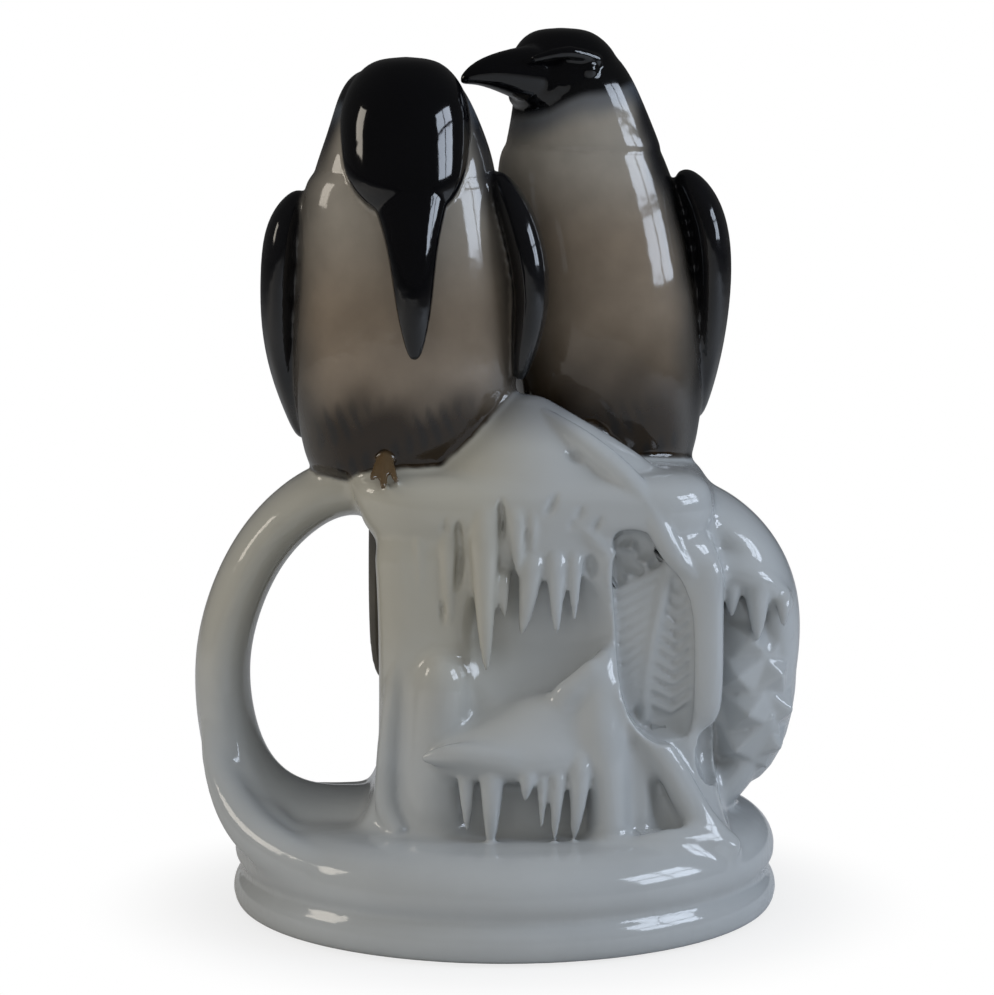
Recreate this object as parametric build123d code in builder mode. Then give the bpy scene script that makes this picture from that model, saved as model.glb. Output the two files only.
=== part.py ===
from build123d import *

import os
from math import cos, radians, sin

# Glazed porcelain figurine: two penguins on an ice rock with an open arch, on a round plinth.
# Millimetres, +Z up, front towards -Y. The origin is the centre of the plinth on the surface it stands on.
# Each node is one casting as it leaves its mould, before the castings are luted together and fired.

# Walls, seats and clearances shared by all castings
CASTING_WALL = 4.0
SEAT_DEPTH = 2.0
VENT_RADIUS = 1.5
OVERRUN = 3.0

# Plinth: a low round stand with two moulded rings and an open underside
PLINTH_RADIUS = 62.6
PLINTH_HEIGHT = 22.0
FOOT_RADIUS = 61.0
FOOT_RING_WIDTH = 5.2
LOWER_RING_HEIGHT = 9.0
GROOVE_RADIUS = 61.0
UPPER_RING_HEIGHT = 7.6
UPPER_RING_RADIUS = 62.0
DECK_RADIUS = 50.0
DECK_WALL = 4.5
HOLLOW_ROUNDING = 8.0

# Ice rock: the hollow block that carries everything, standing on the deck
ROCK_WIDTH = 77.0
ROCK_DEPTH = 54.0
ROCK_HEIGHT = 66.0
ROCK_CORNER_RADIUS = 13.0
ROCK_X = 8.5
ROCK_Y = -3.0
ROCK_SHARES = (
    # height, width, depth
    (0.0, 1.05, 1.10),
    (0.3, 0.98, 0.99),
    (0.7, 0.97, 0.96),
    (1.0, 1.0, 1.0),
)
NICHE_WIDTH = 42.0
NICHE_HEIGHT = 40.0
NICHE_DEPTH = 5.0
NICHE_X_SHARE = -0.06
NICHE_Z_SHARE = 0.56

# Ice cap: the hollow lid of the rock, on which both birds stand
CAP_SIDE_OVERHANG = 4.5
CAP_FACE_OVERHANG = 3.5
CAP_WIDTH = ROCK_WIDTH + 2 * CAP_SIDE_OVERHANG
CAP_DEPTH = ROCK_DEPTH + 2 * CAP_FACE_OVERHANG
CAP_HEIGHT = 15.5
CAP_CORNER_RADIUS = 19.0
CAP_SHIFT = -2.5
CAP_SHARES = (
    # height, width, depth
    (0.0, 0.93, 0.95),
    (0.4, 1.0, 1.0),
    (0.8, 0.97, 0.94),
    (1.0, 0.82, 0.74),
)

# Snow ridge: the hump that rises between the birds and hides the right one's feet
RIDGE_WIDTH = 58.0
RIDGE_DEPTH = 30.0
RIDGE_HEIGHT = 19.0
RIDGE_SINK = 4.5
RIDGE_X = 8.0
RIDGE_Y = -17.0
RIDGE_SHARES = (
    # x, y, z, width, depth
    (0.0, 0.0, 0.0, 1.0, 1.0),
    (0.0, 0.02, 0.35, 0.84, 0.86),
    (-0.02, 0.06, 0.7, 0.50, 0.62),
    (-0.045, 0.1, 0.93, 0.19, 0.34),
    (-0.05, 0.12, 1.0, 0.06, 0.14),
)

# Ice arch: the open hoop on the left, from the cap down to the deck
ARCH_REACH = 41.0
ARCH_RISE = 80.0
ARCH_THICKNESS = 12.6
ARCH_DEPTH = 20.0
ARCH_Y = -3.0
ARCH_SHARES = (
    # reach, rise, thickness, depth
    (-0.15, 0.905, 1.1, 1.3),
    (0.12, 0.915, 1.1, 1.3),
    (0.315, 0.898, 1.06, 1.25),
    (0.51, 0.812, 1.02, 1.15),
    (0.675, 0.69, 0.99, 1.05),
    (0.795, 0.56, 0.98, 1.0),
    (0.846, 0.42, 1.0, 1.0),
    (0.826, 0.277, 1.0, 1.05),
    (0.732, 0.137, 1.12, 1.25),
    (0.552, 0.02, 1.36, 1.7),
    (0.30, -0.045, 1.5, 2.2),
    (0.0, -0.06, 1.5, 2.4),
)

# Grotto: the thick hoop on the right, closed by a hewn wall
GROTTO_REACH = 22.0
GROTTO_RISE = 76.0
GROTTO_THICKNESS = 12.6
GROTTO_DEPTH = 42.0
GROTTO_Y = -2.0
GROTTO_SHARES = (
    # reach, rise, thickness, depth
    (-0.42, 0.95, 1.1, 0.9),
    (0.02, 0.905, 1.1, 0.95),
    (0.36, 0.82, 1.08, 1.0),
    (0.60, 0.70, 1.02, 1.0),
    (0.71, 0.565, 1.0, 1.0),
    (0.70, 0.42, 0.98, 1.0),
    (0.62, 0.28, 0.98, 0.98),
    (0.44, 0.155, 1.0, 0.95),
    (0.16, 0.055, 1.04, 0.92),
    (-0.15, 0.0, 1.04, 0.9),
)
GROTTO_WALL = 9.0
GROTTO_WALL_Y = 4.0
FACET_SIZE = 8.4
FACET_RELIEF = 2.4
FACET_FILL_SHARE = 0.66
FACET_TURN = 45
FACET_COLUMNS = 4
FACET_ROWS = 9

# Pillar and frost fern: the smooth post in front of the grotto and the barbed leaf beside it
PILLAR_WIDTH = 6.4
PILLAR_DEPTH = 16.0
PILLAR_HEIGHT = 54.0
PILLAR_SET_IN = 1.8
PILLAR_Z = 31.0
PILLAR_ROUNDING = 1.6
PILLAR_FOOT_SHARE = 0.5
PILLAR_KNEE_SHARE = 0.16
PILLAR_HEAD_SHARE = 0.9
FERN_WIDTH = 19.0
FERN_HEIGHT = 44.0
FERN_DEPTH = 7.0
FERN_PROUD = 1.6
FERN_ROUNDING = 2.0
FERN_Z_SHARE = 0.66
RIB_WIDTH = 2.2
RIB_RELIEF = 1.4
RIB_LEAN = 12
RIB_X_SHARE = 0.12
BARB_WIDTH = 1.3
BARB_PITCH = 3.6
BARB_COUNT = 10
BARB_LEAN = 40
BARB_LENGTH_SHARE = 0.44

# Snow drift and mound: the lower tier in front of the rock, and the lump on the left column
DRIFT_WIDTH = 44.0
DRIFT_DEPTH = 30.0
DRIFT_HEIGHT = 43.0
DRIFT_X = 4.0
DRIFT_Y = -31.0
STEM_SHARES = (
    # x, y, z, width, depth
    (0.04, 0.1, 0.0, 1.04, 0.66),
    (0.04, 0.1, 0.12, 1.0, 0.54),
    (0.04, 0.1, 0.30, 0.98, 0.54),
)
SHELF_SHARES = (
    (-0.02, 0.02, 0.26, 0.86, 0.82),
    (-0.02, 0.0, 0.36, 0.98, 1.0),
    (-0.02, 0.02, 0.48, 0.86, 0.86),
    (-0.02, 0.06, 0.58, 0.56, 0.5),
)
PEAK_SHARES = (
    (0.37, 0.03, 0.0, 0.40, 0.8),
    (0.35, 0.03, 0.28, 0.46, 0.8),
    (0.32, 0.0, 0.54, 0.52, 0.66),
    (0.37, 0.0, 0.78, 0.28, 0.42),
    (0.38, 0.0, 0.94, 0.15, 0.26),
    (0.38, 0.0, 1.0, 0.06, 0.12),
)
BEAM_THICKNESS = 7.0
BEAM_DEPTH = 12.0
SHELF_LIP_SHARE = 0.32
BEAM_SHARES = (
    # x, y, z of the leaning beam, as shares of the drift
    (0.50, 0.05, 0.68),
    (0.68, 0.10, 0.40),
    (0.86, 0.16, 0.02),
)
MOUND_WIDTH = 15.0
MOUND_DEPTH = 15.0
MOUND_HEIGHT = 15.0
MOUND_X_SHARE = -0.31
MOUND_Z_SHARE = 0.46
MOUND_SHARES = (
    (0.0, 0.0, 0.0, 0.5, 0.5),
    (0.0, 0.0, 0.35, 0.94, 0.95),
    (0.0, 0.0, 0.65, 1.0, 1.0),
    (0.05, 0.0, 0.9, 0.6, 0.66),
    (0.05, 0.0, 1.0, 0.2, 0.25),
)

# Icicles: each row is x along the tier, rise over its lip, length and thickness, as shares
ICICLE_LENGTH = 38.0
GROTTO_LIP_SHARE = 0.77
ICICLE_THICKNESS = 6.0
ICICLE_SEAT_DEPTH = 2.0
ICICLE_SHOULDER = 0.72
ICICLE_TIP = 0.16
CAP_ICICLE_SHARES = (
    (-0.278, 0.16, 0.63, 0.66),
    (-0.18, 0.20, 1.0, 1.0),
    (-0.08, 0.20, 0.45, 0.76),
    (-0.02, 0.20, 0.3, 0.66),
)
NICHE_ICICLE_SHARES = (
    (-0.12, -0.1, 0.24, 0.6),
    (-0.065, -0.08, 0.42, 0.84),
    (0.038, -0.08, 0.44, 0.8),
    (0.086, -0.09, 0.37, 0.7),
    (0.165, -0.08, 0.22, 0.6),
)
DRIFT_ICICLE_SHARES = (
    (-0.32, 0.0, 0.24, 0.5),
    (-0.18, -0.02, 0.38, 0.86),
    (-0.01, -0.04, 0.22, 0.55),
    (0.09, -0.04, 0.3, 0.5),
    (0.16, -0.06, 0.42, 0.66),
    (0.29, -0.1, 0.48, 0.74),
)
GROTTO_ICICLE_SHARES = (
    (0.12, 0.06, 0.3, 0.7),
    (0.34, 0.03, 0.42, 0.9),
    (0.56, -0.02, 0.34, 0.8),
)

# Left penguin: head bowed, bill down against its chest
LEFT_BODY_WIDTH = 52.0
LEFT_BODY_DEPTH = 38.0
LEFT_BODY_HEIGHT = 64.0
LEFT_X = -22.7
LEFT_Y = -9.0
LEFT_BODY_SHARES = (
    # x, y, z, width, depth
    (-0.035, 0.02, 0.0, 0.75, 0.74),
    (-0.025, 0.01, 0.1, 0.84, 0.84),
    (-0.01, 0.0, 0.21, 0.94, 0.94),
    (0.0, 0.0, 0.37, 1.0, 1.0),
    (0.0, 0.0, 0.55, 1.0, 1.0),
    (0.0, -0.01, 0.73, 0.95, 0.95),
    (0.005, -0.02, 0.88, 0.86, 0.9),
    (0.02, -0.04, 1.0, 0.74, 0.86),
)
LEFT_HEAD_WIDTH = 38.5
LEFT_HEAD_DEPTH = 35.0
LEFT_HEAD_HEIGHT = 29.7
LEFT_HEAD_SHARES = (
    (0.0, 0.0, 0.0, 1.0, 0.934),
    (0.005, -0.02, 0.26, 0.92, 1.0),
    (-0.01, -0.04, 0.48, 0.82, 0.98),
    (-0.01, -0.045, 0.66, 0.74, 0.86),
    (-0.005, -0.04, 0.82, 0.60, 0.68),
    (0.0, -0.03, 0.94, 0.36, 0.40),
    (0.0, -0.03, 1.0, 0.12, 0.14),
)
LEFT_BILL_LENGTH = 46.0
LEFT_FACE_SHARE = 0.44
LEFT_FACE_RISE_SHARE = 0.3
LEFT_BILL_WIDTH = 23.0
LEFT_BILL_SHARES = (
    # x, y, z along the bill from the face, width, depth
    (0.0, 0.02, 0.0, 0.7, 0.5),
    (0.0, -0.10, -0.12, 1.0, 0.72),
    (0.01, -0.18, -0.28, 0.86, 0.66),
    (0.025, -0.235, -0.44, 0.52, 0.5),
    (0.035, -0.255, -0.62, 0.36, 0.38),
    (0.045, -0.26, -0.80, 0.26, 0.28),
    (0.05, -0.25, -0.93, 0.15, 0.16),
    (0.05, -0.24, -1.0, 0.06, 0.07),
)

# Right penguin: upright behind the left one, head turned so its bill meets the other's crown
RIGHT_BODY_WIDTH = 46.0
RIGHT_BODY_DEPTH = 38.0
RIGHT_BIRD_RISE = 11.0
RIGHT_BODY_HEIGHT = LEFT_BODY_HEIGHT + RIGHT_BIRD_RISE
RIGHT_X = 22.6
RIGHT_Y = 9.0
RIGHT_BODY_SHARES = (
    (0.02, 0.0, 0.0, 0.82, 0.8),
    (0.02, 0.0, 0.12, 0.95, 0.93),
    (0.02, 0.0, 0.3, 1.0, 1.0),
    (0.0, 0.0, 0.5, 1.0, 1.0),
    (-0.025, 0.0, 0.68, 0.97, 0.98),
    (-0.055, -0.01, 0.82, 0.92, 0.9),
    (-0.09, -0.02, 0.92, 0.82, 0.82),
    (-0.11, -0.03, 1.0, 0.68, 0.7),
)
RIGHT_HEAD_WIDTH = 31.3
RIGHT_HEAD_DEPTH = 27.5
RIGHT_HEAD_HEIGHT = 23.5
RIGHT_HEAD_SHARES = (
    (0.0, 0.0, 0.0, 1.0, 0.966),
    (-0.03, -0.01, 0.22, 0.92, 0.94),
    (-0.06, -0.03, 0.45, 0.83, 0.94),
    (-0.10, -0.03, 0.66, 0.74, 0.86),
    (-0.14, -0.02, 0.84, 0.60, 0.68),
    (-0.17, 0.0, 0.95, 0.38, 0.42),
    (-0.18, 0.0, 1.0, 0.14, 0.16),
)
RIGHT_BILL_LENGTH = 25.0
RIGHT_FACE_SHARE = 0.16
RIGHT_FACE_RISE_SHARE = 0.45
RIGHT_BILL_HEIGHT = 15.0
RIGHT_BILL_SHARES = (
    # along the bill from the face: x, y, z, height, depth
    (0.0, 0.0, 0.0, 0.72, 0.6),
    (-0.22, -0.12, 0.01, 0.98, 0.84),
    (-0.44, -0.22, 0.03, 0.90, 0.72),
    (-0.64, -0.31, 0.05, 0.66, 0.52),
    (-0.84, -0.40, 0.055, 0.40, 0.34),
    (-0.96, -0.45, 0.06, 0.22, 0.2),
    (-1.0, -0.47, 0.06, 0.08, 0.08),
)

# Wings: flat blades luted to the flanks, each as shares of its bird's body
WING_THICKNESS = 9.0
RIGHT_WING_RISE_SHARE = 0.88
HIDDEN_WING_SHARE = 0.42
WING_BREADTH = 20.0
OUTER_WING_SHARES = (
    # out, y, z on the body, thickness, breadth
    (0.42, 0.0, 0.99, 0.4, 0.3),
    (0.465, 0.0, 0.92, 0.8, 0.74),
    (0.50, 0.02, 0.78, 1.0, 1.0),
    (0.515, 0.06, 0.58, 0.98, 1.06),
    (0.51, 0.12, 0.40, 0.86, 0.86),
    (0.475, 0.18, 0.26, 0.56, 0.5),
    (0.44, 0.22, 0.18, 0.24, 0.2),
)
INNER_WING_SHARES = (
    (0.37, -0.14, 1.0, 0.4, 0.3),
    (0.44, -0.16, 0.90, 0.74, 0.6),
    (0.50, -0.16, 0.77, 0.9, 0.72),
    (0.525, -0.14, 0.64, 0.94, 0.74),
    (0.51, -0.12, 0.52, 0.8, 0.62),
    (0.48, -0.10, 0.42, 0.52, 0.42),
    (0.45, -0.10, 0.36, 0.2, 0.2),
)

# Tails: feathered tongues that drape over the back of the cap and down the rock
TAIL_WIDTH = 17.0
TAIL_THICKNESS = 8.0
TAIL_DROP = 60.0
TAIL_STAND_OFF = 0.5
TAIL_START_SHARE = 0.38
TAIL_SHARES = (
    # back, drop, width, thickness
    (0.0, -0.08, 0.8, 1.3),
    (0.42, -0.01, 1.0, 1.25),
    (0.84, 0.12, 1.0, 1.1),
    (1.0, 0.35, 0.96, 1.0),
    (0.98, 0.66, 0.86, 0.9),
    (0.95, 0.9, 0.6, 0.7),
    (0.94, 1.0, 0.28, 0.36),
)

# Foot: three painted toes below the left bird's belly
TOE_LENGTH = 9.0
TOE_WIDTH = 3.0
TOE_SPREAD = 24
TOE_HEEL_SHARE = 0.8
TOE_KNUCKLE_SHARE = 0.6
TOE_TIP_SHARE = 0.3
FOOT_X_SHARE = -0.09
FOOT_Y_SHARE = -0.34

DECK_Z = PLINTH_HEIGHT
ROCK_TOP_Z = DECK_Z + ROCK_HEIGHT
CAP_TOP_Z = ROCK_TOP_Z + CAP_HEIGHT
STAND_Z = CAP_TOP_Z - SEAT_DEPTH
ROCK_LEFT_X = ROCK_X - ROCK_WIDTH / 2
ROCK_RIGHT_X = ROCK_X + ROCK_WIDTH / 2
ROCK_FRONT_Y = ROCK_Y - ROCK_DEPTH / 2
CAP_BACK_Y = ROCK_Y + CAP_DEPTH / 2
ACROSS = Vector(1, 0, 0)
DEEP = Vector(0, 1, 0)


def level_loft(centre, width, depth, height, rows):
    """A loft through level ellipses; each row is x, y, z, width and depth as shares."""
    with BuildPart() as shape:
        for x, y, z, across, deep in rows:
            with BuildSketch(Plane(origin=centre + Vector(x * width, y * depth, z * height))):
                Ellipse(across * width / 2, deep * depth / 2)
        loft()
    return shape


def level_hollow(centre, width, depth, height, rows, wall):
    """The inside of such a loft, a wall smaller all round and closed at both ends."""
    roomy = [row for row in rows if min(row[3] * width, row[4] * depth) > 4 * wall]
    last = len(roomy) - 1
    with BuildPart() as shape:
        for index, (x, y, z, across, deep) in enumerate(roomy):
            lift = wall if index == 0 else -wall if index == last else 0
            place = centre + Vector(x * width, y * depth, z * height + lift)
            with BuildSketch(Plane(origin=place)):
                Ellipse(across * width / 2 - wall, deep * depth / 2 - wall)
        loft()
    return shape


def block_loft(centre, width, depth, height, corner, rows, wall=0.0, floor=0.0, roof=0.0):
    """A loft through level rounded rectangles; wall, floor and roof shrink it to the hollow inside."""
    last = len(rows) - 1
    with BuildPart() as shape:
        for index, (z, across, deep) in enumerate(rows):
            lift = floor if index == 0 else -roof if index == last else 0
            with BuildSketch(Plane(origin=centre + Vector(0, 0, z * height + lift))):
                RectangleRounded(
                    across * width - 2 * wall, deep * depth - 2 * wall, across * corner - wall / 2
                )
        loft()
    return shape


def path_loft(points, half_sizes, side):
    """A loft through ellipses square to a path; half_sizes are along side, and square to it."""
    last = len(points) - 1
    with BuildPart() as shape:
        for index, (point, (along, square)) in enumerate(zip(points, half_sizes)):
            tangent = points[min(index + 1, last)] - points[max(index - 1, 0)]
            with BuildSketch(Plane(origin=point, x_dir=side, z_dir=tangent)):
                Ellipse(along, square)
        loft()
    return shape


def seated(blank, *neighbours):
    """The blank less its neighbours, so that it meets them face to face, without crumbs."""
    with BuildPart(mode=Mode.PRIVATE) as cut:
        add(blank.part)
        for neighbour in neighbours:
            add(neighbour.part, mode=Mode.SUBTRACT)
    with BuildPart() as piece:
        add(cut.part.solids().sort_by(SortBy.VOLUME)[-1])
    return piece


def fused(*blanks):
    """Several blanks as one casting."""
    with BuildPart() as whole:
        for blank in blanks:
            add(blank.part)
    return whole


def vented(shell, x, y, z):
    """The shell with its pin vent, through the wall at that height."""
    with BuildPart() as pierced:
        add(shell.part)
        with Locations((x, y, z)):
            Cylinder(VENT_RADIUS, 2 * (CASTING_WALL + OVERRUN), mode=Mode.SUBTRACT)
    return pierced


def save(name, piece):
    """Labels a finished casting and writes its STEP file."""
    piece.part.label = name
    export_step(piece.part, f"parts/{name}.step")


def plinth_profile(hollow):
    """The turned half section of the plinth, solid or with its open underside."""
    rings_z = LOWER_RING_HEIGHT + UPPER_RING_HEIGHT
    crown = (UPPER_RING_RADIUS, LOWER_RING_HEIGHT + UPPER_RING_HEIGHT / 2)
    inner = FOOT_RADIUS - FOOT_RING_WIDTH
    ceiling = DECK_Z - DECK_WALL
    cove = HOLLOW_ROUNDING * (1 - sin(radians(45)))
    with BuildSketch(Plane.XZ) as profile:
        with BuildLine():
            ThreePointArc(
                (FOOT_RADIUS, 0), (PLINTH_RADIUS, LOWER_RING_HEIGHT / 2), (GROOVE_RADIUS, LOWER_RING_HEIGHT)
            )
            upper = ThreePointArc((GROOVE_RADIUS, LOWER_RING_HEIGHT), crown, (GROOVE_RADIUS, rings_z))
            Spline(upper @ 1, (DECK_RADIUS, DECK_Z), tangents=(upper % 1, (-1, 0)))
            if hollow:
                ceiling_end = (inner - HOLLOW_ROUNDING, ceiling)
                Polyline((DECK_RADIUS, DECK_Z), (0, DECK_Z), (0, ceiling), ceiling_end)
                ThreePointArc(
                    (inner - HOLLOW_ROUNDING, ceiling),
                    (inner - cove, ceiling - cove),
                    (inner, ceiling - HOLLOW_ROUNDING),
                )
                Polyline((inner, ceiling - HOLLOW_ROUNDING), (inner, 0), (FOOT_RADIUS, 0))
            else:
                Polyline((DECK_RADIUS, DECK_Z), (0, DECK_Z), (0, 0), (FOOT_RADIUS, 0))
        make_face()
    return profile


def niche_plug(wall):
    """What fills the niche in the rock's face, a wall larger all round and at its back."""
    with BuildPart() as plug:
        with BuildSketch(Plane.XZ.offset(-ROCK_FRONT_Y + OVERRUN)):
            with Locations((ROCK_X + NICHE_X_SHARE * ROCK_WIDTH, DECK_Z + NICHE_Z_SHARE * ROCK_HEIGHT)):
                Ellipse(NICHE_WIDTH / 2 + wall, NICHE_HEIGHT / 2 + wall)
        extrude(amount=-(OVERRUN + NICHE_DEPTH + wall))
    return plug


def icicle_fringe(start, width, length, thickness, rows):
    """A lip of ice with icicles hanging from it; start is the middle of the lip's zero point."""
    reach = [start + Vector(x * width, 0, drop * length) for x, drop, _, _ in rows]
    sizes = [(share * thickness / 2, share * thickness / 2) for _, _, _, share in rows]
    with BuildPart() as fringe:
        add(path_loft(reach, sizes, DEEP).part)
        for top, (_, _, long_share, thick_share) in zip(reach, rows):
            radius = thick_share * thickness / 2
            for fall, size in ((0, 1), (0.5, ICICLE_SHOULDER), (1, ICICLE_TIP)):
                with BuildSketch(Plane(origin=top - Vector(0, 0, fall * long_share * length))):
                    Circle(size * radius)
            loft()
    return fringe


def wing(stand, size, side, rows, rise_share=1.0, back_share=0.0):
    """A flipper on the left or right flank of a bird of that width, depth and height."""
    width, depth, height = size
    points = [
        stand + Vector(side * out * width, (y + back_share) * depth, z * rise_share * height)
        for out, y, z, _, _ in rows
    ]
    halves = [(broad * WING_BREADTH / 2, thick * WING_THICKNESS / 2) for _, _, _, thick, broad in rows]
    return path_loft(points, halves, DEEP)


def tail(x, start_y):
    """A tail that leaves a bird's back, lies over the rear of the cap and hangs down the rock."""
    end_y = CAP_BACK_Y + TAIL_STAND_OFF
    points = [
        Vector(x, start_y + back * (end_y - start_y), CAP_TOP_Z + TAIL_THICKNESS / 2 - drop * TAIL_DROP)
        for back, drop, _, _ in TAIL_SHARES
    ]
    halves = [(wide * TAIL_WIDTH / 2, thick * TAIL_THICKNESS / 2) for _, _, wide, thick in TAIL_SHARES]
    return path_loft(points, halves, ACROSS)


os.makedirs("parts", exist_ok=True)

# Plinth, solid for cutting its neighbours and hollow as cast
with BuildPart() as plinth_blank:
    add(plinth_profile(hollow=False).sketch)
    revolve(axis=Axis.Z)

with BuildPart() as plinth_shell:
    add(plinth_profile(hollow=True).sketch)
    revolve(axis=Axis.Z)
plinth = vented(plinth_shell, ROCK_X, ROCK_Y, DECK_Z)
save("plinth", plinth)

# Ice rock, a closed hollow block with the niche scooped out of its face
rock_base = Vector(ROCK_X, ROCK_Y, DECK_Z)
ROCK_SIZE = (ROCK_WIDTH, ROCK_DEPTH, ROCK_HEIGHT, ROCK_CORNER_RADIUS)
rock_blank = block_loft(rock_base, *ROCK_SIZE, ROCK_SHARES)
rock_inside = block_loft(rock_base, *ROCK_SIZE, ROCK_SHARES, CASTING_WALL, CASTING_WALL, CASTING_WALL)
niche_cutter = niche_plug(0)
rock_hollow = seated(rock_inside, niche_plug(CASTING_WALL))
rock_shell = seated(rock_blank, rock_hollow, niche_cutter)
ice_rock = vented(vented(rock_shell, ROCK_X, ROCK_Y, DECK_Z), ROCK_X, ROCK_Y, ROCK_TOP_Z)
save("ice_rock", ice_rock)

# Left penguin's body and head
left_stand = Vector(LEFT_X, LEFT_Y, STAND_Z)
LEFT_SIZE = (LEFT_BODY_WIDTH, LEFT_BODY_DEPTH, LEFT_BODY_HEIGHT)
LEFT_HEAD_SIZE = (LEFT_HEAD_WIDTH, LEFT_HEAD_DEPTH, LEFT_HEAD_HEIGHT)
lean_x, lean_y = LEFT_BODY_SHARES[-1][:2]
left_neck = left_stand + Vector(lean_x * LEFT_BODY_WIDTH, lean_y * LEFT_BODY_DEPTH, LEFT_BODY_HEIGHT)
left_body_blank = level_loft(left_stand, *LEFT_SIZE, LEFT_BODY_SHARES)
left_head_blank = level_loft(left_neck, *LEFT_HEAD_SIZE, LEFT_HEAD_SHARES)
left_body_hollow = level_hollow(left_stand, *LEFT_SIZE, LEFT_BODY_SHARES, CASTING_WALL)
left_head_hollow = level_hollow(left_neck, *LEFT_HEAD_SIZE, LEFT_HEAD_SHARES, CASTING_WALL)
left_shell = seated(left_body_blank, left_body_hollow)
left_drained = vented(left_shell, LEFT_X, LEFT_Y, STAND_Z)
left_penguin_body = vented(left_drained, left_neck.X, left_neck.Y, left_neck.Z)
left_penguin_head = vented(seated(left_head_blank, left_head_hollow), left_neck.X, left_neck.Y, left_neck.Z)
save("left_penguin_body", left_penguin_body)
save("left_penguin_head", left_penguin_head)

# Right penguin's body and head
right_stand = Vector(RIGHT_X, RIGHT_Y, STAND_Z)
RIGHT_SIZE = (RIGHT_BODY_WIDTH, RIGHT_BODY_DEPTH, RIGHT_BODY_HEIGHT)
RIGHT_HEAD_SIZE = (RIGHT_HEAD_WIDTH, RIGHT_HEAD_DEPTH, RIGHT_HEAD_HEIGHT)
lean_x, lean_y = RIGHT_BODY_SHARES[-1][:2]
right_neck = right_stand + Vector(lean_x * RIGHT_BODY_WIDTH, lean_y * RIGHT_BODY_DEPTH, RIGHT_BODY_HEIGHT)
right_body_blank = level_loft(right_stand, *RIGHT_SIZE, RIGHT_BODY_SHARES)
right_head_blank = level_loft(right_neck, *RIGHT_HEAD_SIZE, RIGHT_HEAD_SHARES)
right_body_hollow = level_hollow(right_stand, *RIGHT_SIZE, RIGHT_BODY_SHARES, CASTING_WALL)
right_head_hollow = level_hollow(right_neck, *RIGHT_HEAD_SIZE, RIGHT_HEAD_SHARES, CASTING_WALL)
right_shell = seated(right_body_blank, right_body_hollow)
right_penguin_body = vented(
    vented(right_shell, RIGHT_X, RIGHT_Y, STAND_Z), right_neck.X, right_neck.Y, right_neck.Z
)
right_penguin_head = vented(
    seated(right_head_blank, right_head_hollow), right_neck.X, right_neck.Y, right_neck.Z
)
save("right_penguin_body", right_penguin_body)
save("right_penguin_head", right_penguin_head)

# Ice cap, with a socket for each bird
cap_base = Vector(ROCK_X + CAP_SHIFT, ROCK_Y, ROCK_TOP_Z)
CAP_SIZE = (CAP_WIDTH, CAP_DEPTH, CAP_HEIGHT, CAP_CORNER_RADIUS)
cap_blank = block_loft(cap_base, *CAP_SIZE, CAP_SHARES)
cap_roof = CASTING_WALL + SEAT_DEPTH
cap_hollow = block_loft(cap_base, *CAP_SIZE, CAP_SHARES, CASTING_WALL, CASTING_WALL, cap_roof)
cap_shell = seated(cap_blank, cap_hollow, left_body_blank, right_body_blank)
for vent_x, vent_y, vent_z in (
    (ROCK_X, ROCK_Y, ROCK_TOP_Z),
    (LEFT_X, LEFT_Y, STAND_Z),
    (RIGHT_X, RIGHT_Y, STAND_Z),
):
    cap_shell = vented(cap_shell, vent_x, vent_y, vent_z)
save("ice_cap", cap_shell)

# Snow ridge between the birds
ridge_base = Vector(RIDGE_X, RIDGE_Y, CAP_TOP_Z - RIDGE_SINK)
ridge_blank = level_loft(ridge_base, RIDGE_WIDTH, RIDGE_DEPTH, RIDGE_HEIGHT, RIDGE_SHARES)
snow_ridge = seated(ridge_blank, cap_blank, rock_blank, left_body_blank, right_body_blank)
save("snow_ridge", snow_ridge)

# Ice arch on the left
arch_points = [
    Vector(ROCK_LEFT_X - reach * ARCH_REACH, ARCH_Y, DECK_Z + rise * ARCH_RISE)
    for reach, rise, _, _ in ARCH_SHARES
]
arch_halves = [(deep * ARCH_DEPTH / 2, thick * ARCH_THICKNESS / 2) for _, _, thick, deep in ARCH_SHARES]
arch_blank = path_loft(arch_points, arch_halves, DEEP)
ice_arch = seated(arch_blank, plinth_blank, rock_blank, cap_blank, left_body_blank)
save("ice_arch", ice_arch)

# Grotto hoop on the right, and the hewn wall that closes it
hoop_points = [
    Vector(ROCK_RIGHT_X + reach * GROTTO_REACH, GROTTO_Y, DECK_Z + rise * GROTTO_RISE)
    for reach, rise, _, _ in GROTTO_SHARES
]
hoop_halves = [
    (deep * GROTTO_DEPTH / 2, thick * GROTTO_THICKNESS / 2) for _, _, thick, deep in GROTTO_SHARES
]
hoop_blank = path_loft(hoop_points, hoop_halves, DEEP)
grotto_arch = seated(hoop_blank, plinth_blank, rock_blank, cap_blank, right_body_blank)
save("grotto_arch", grotto_arch)

with BuildPart() as wall_blank:
    with BuildSketch(Plane.XZ.offset(-GROTTO_WALL_Y)) as wall_outline:
        with BuildLine():
            Polyline([(point.X, point.Z) for point in hoop_points], close=True)
        make_face()
    extrude(amount=GROTTO_WALL / 2, both=True)
    with BuildSketch(Plane.XZ.offset(GROTTO_WALL / 2 - GROTTO_WALL_Y)):
        with Locations((ROCK_RIGHT_X, DECK_Z + GROTTO_RISE / 2)):
            with GridLocations(FACET_SIZE, FACET_SIZE, FACET_COLUMNS, FACET_ROWS):
                Rectangle(FACET_SIZE * FACET_FILL_SHARE, FACET_SIZE * FACET_FILL_SHARE, rotation=FACET_TURN)
        add(wall_outline.sketch, mode=Mode.INTERSECT)
    extrude(amount=FACET_RELIEF)
grotto_wall = seated(wall_blank, plinth_blank, rock_blank, cap_blank, grotto_arch)
save("grotto_wall", grotto_wall)

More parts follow.
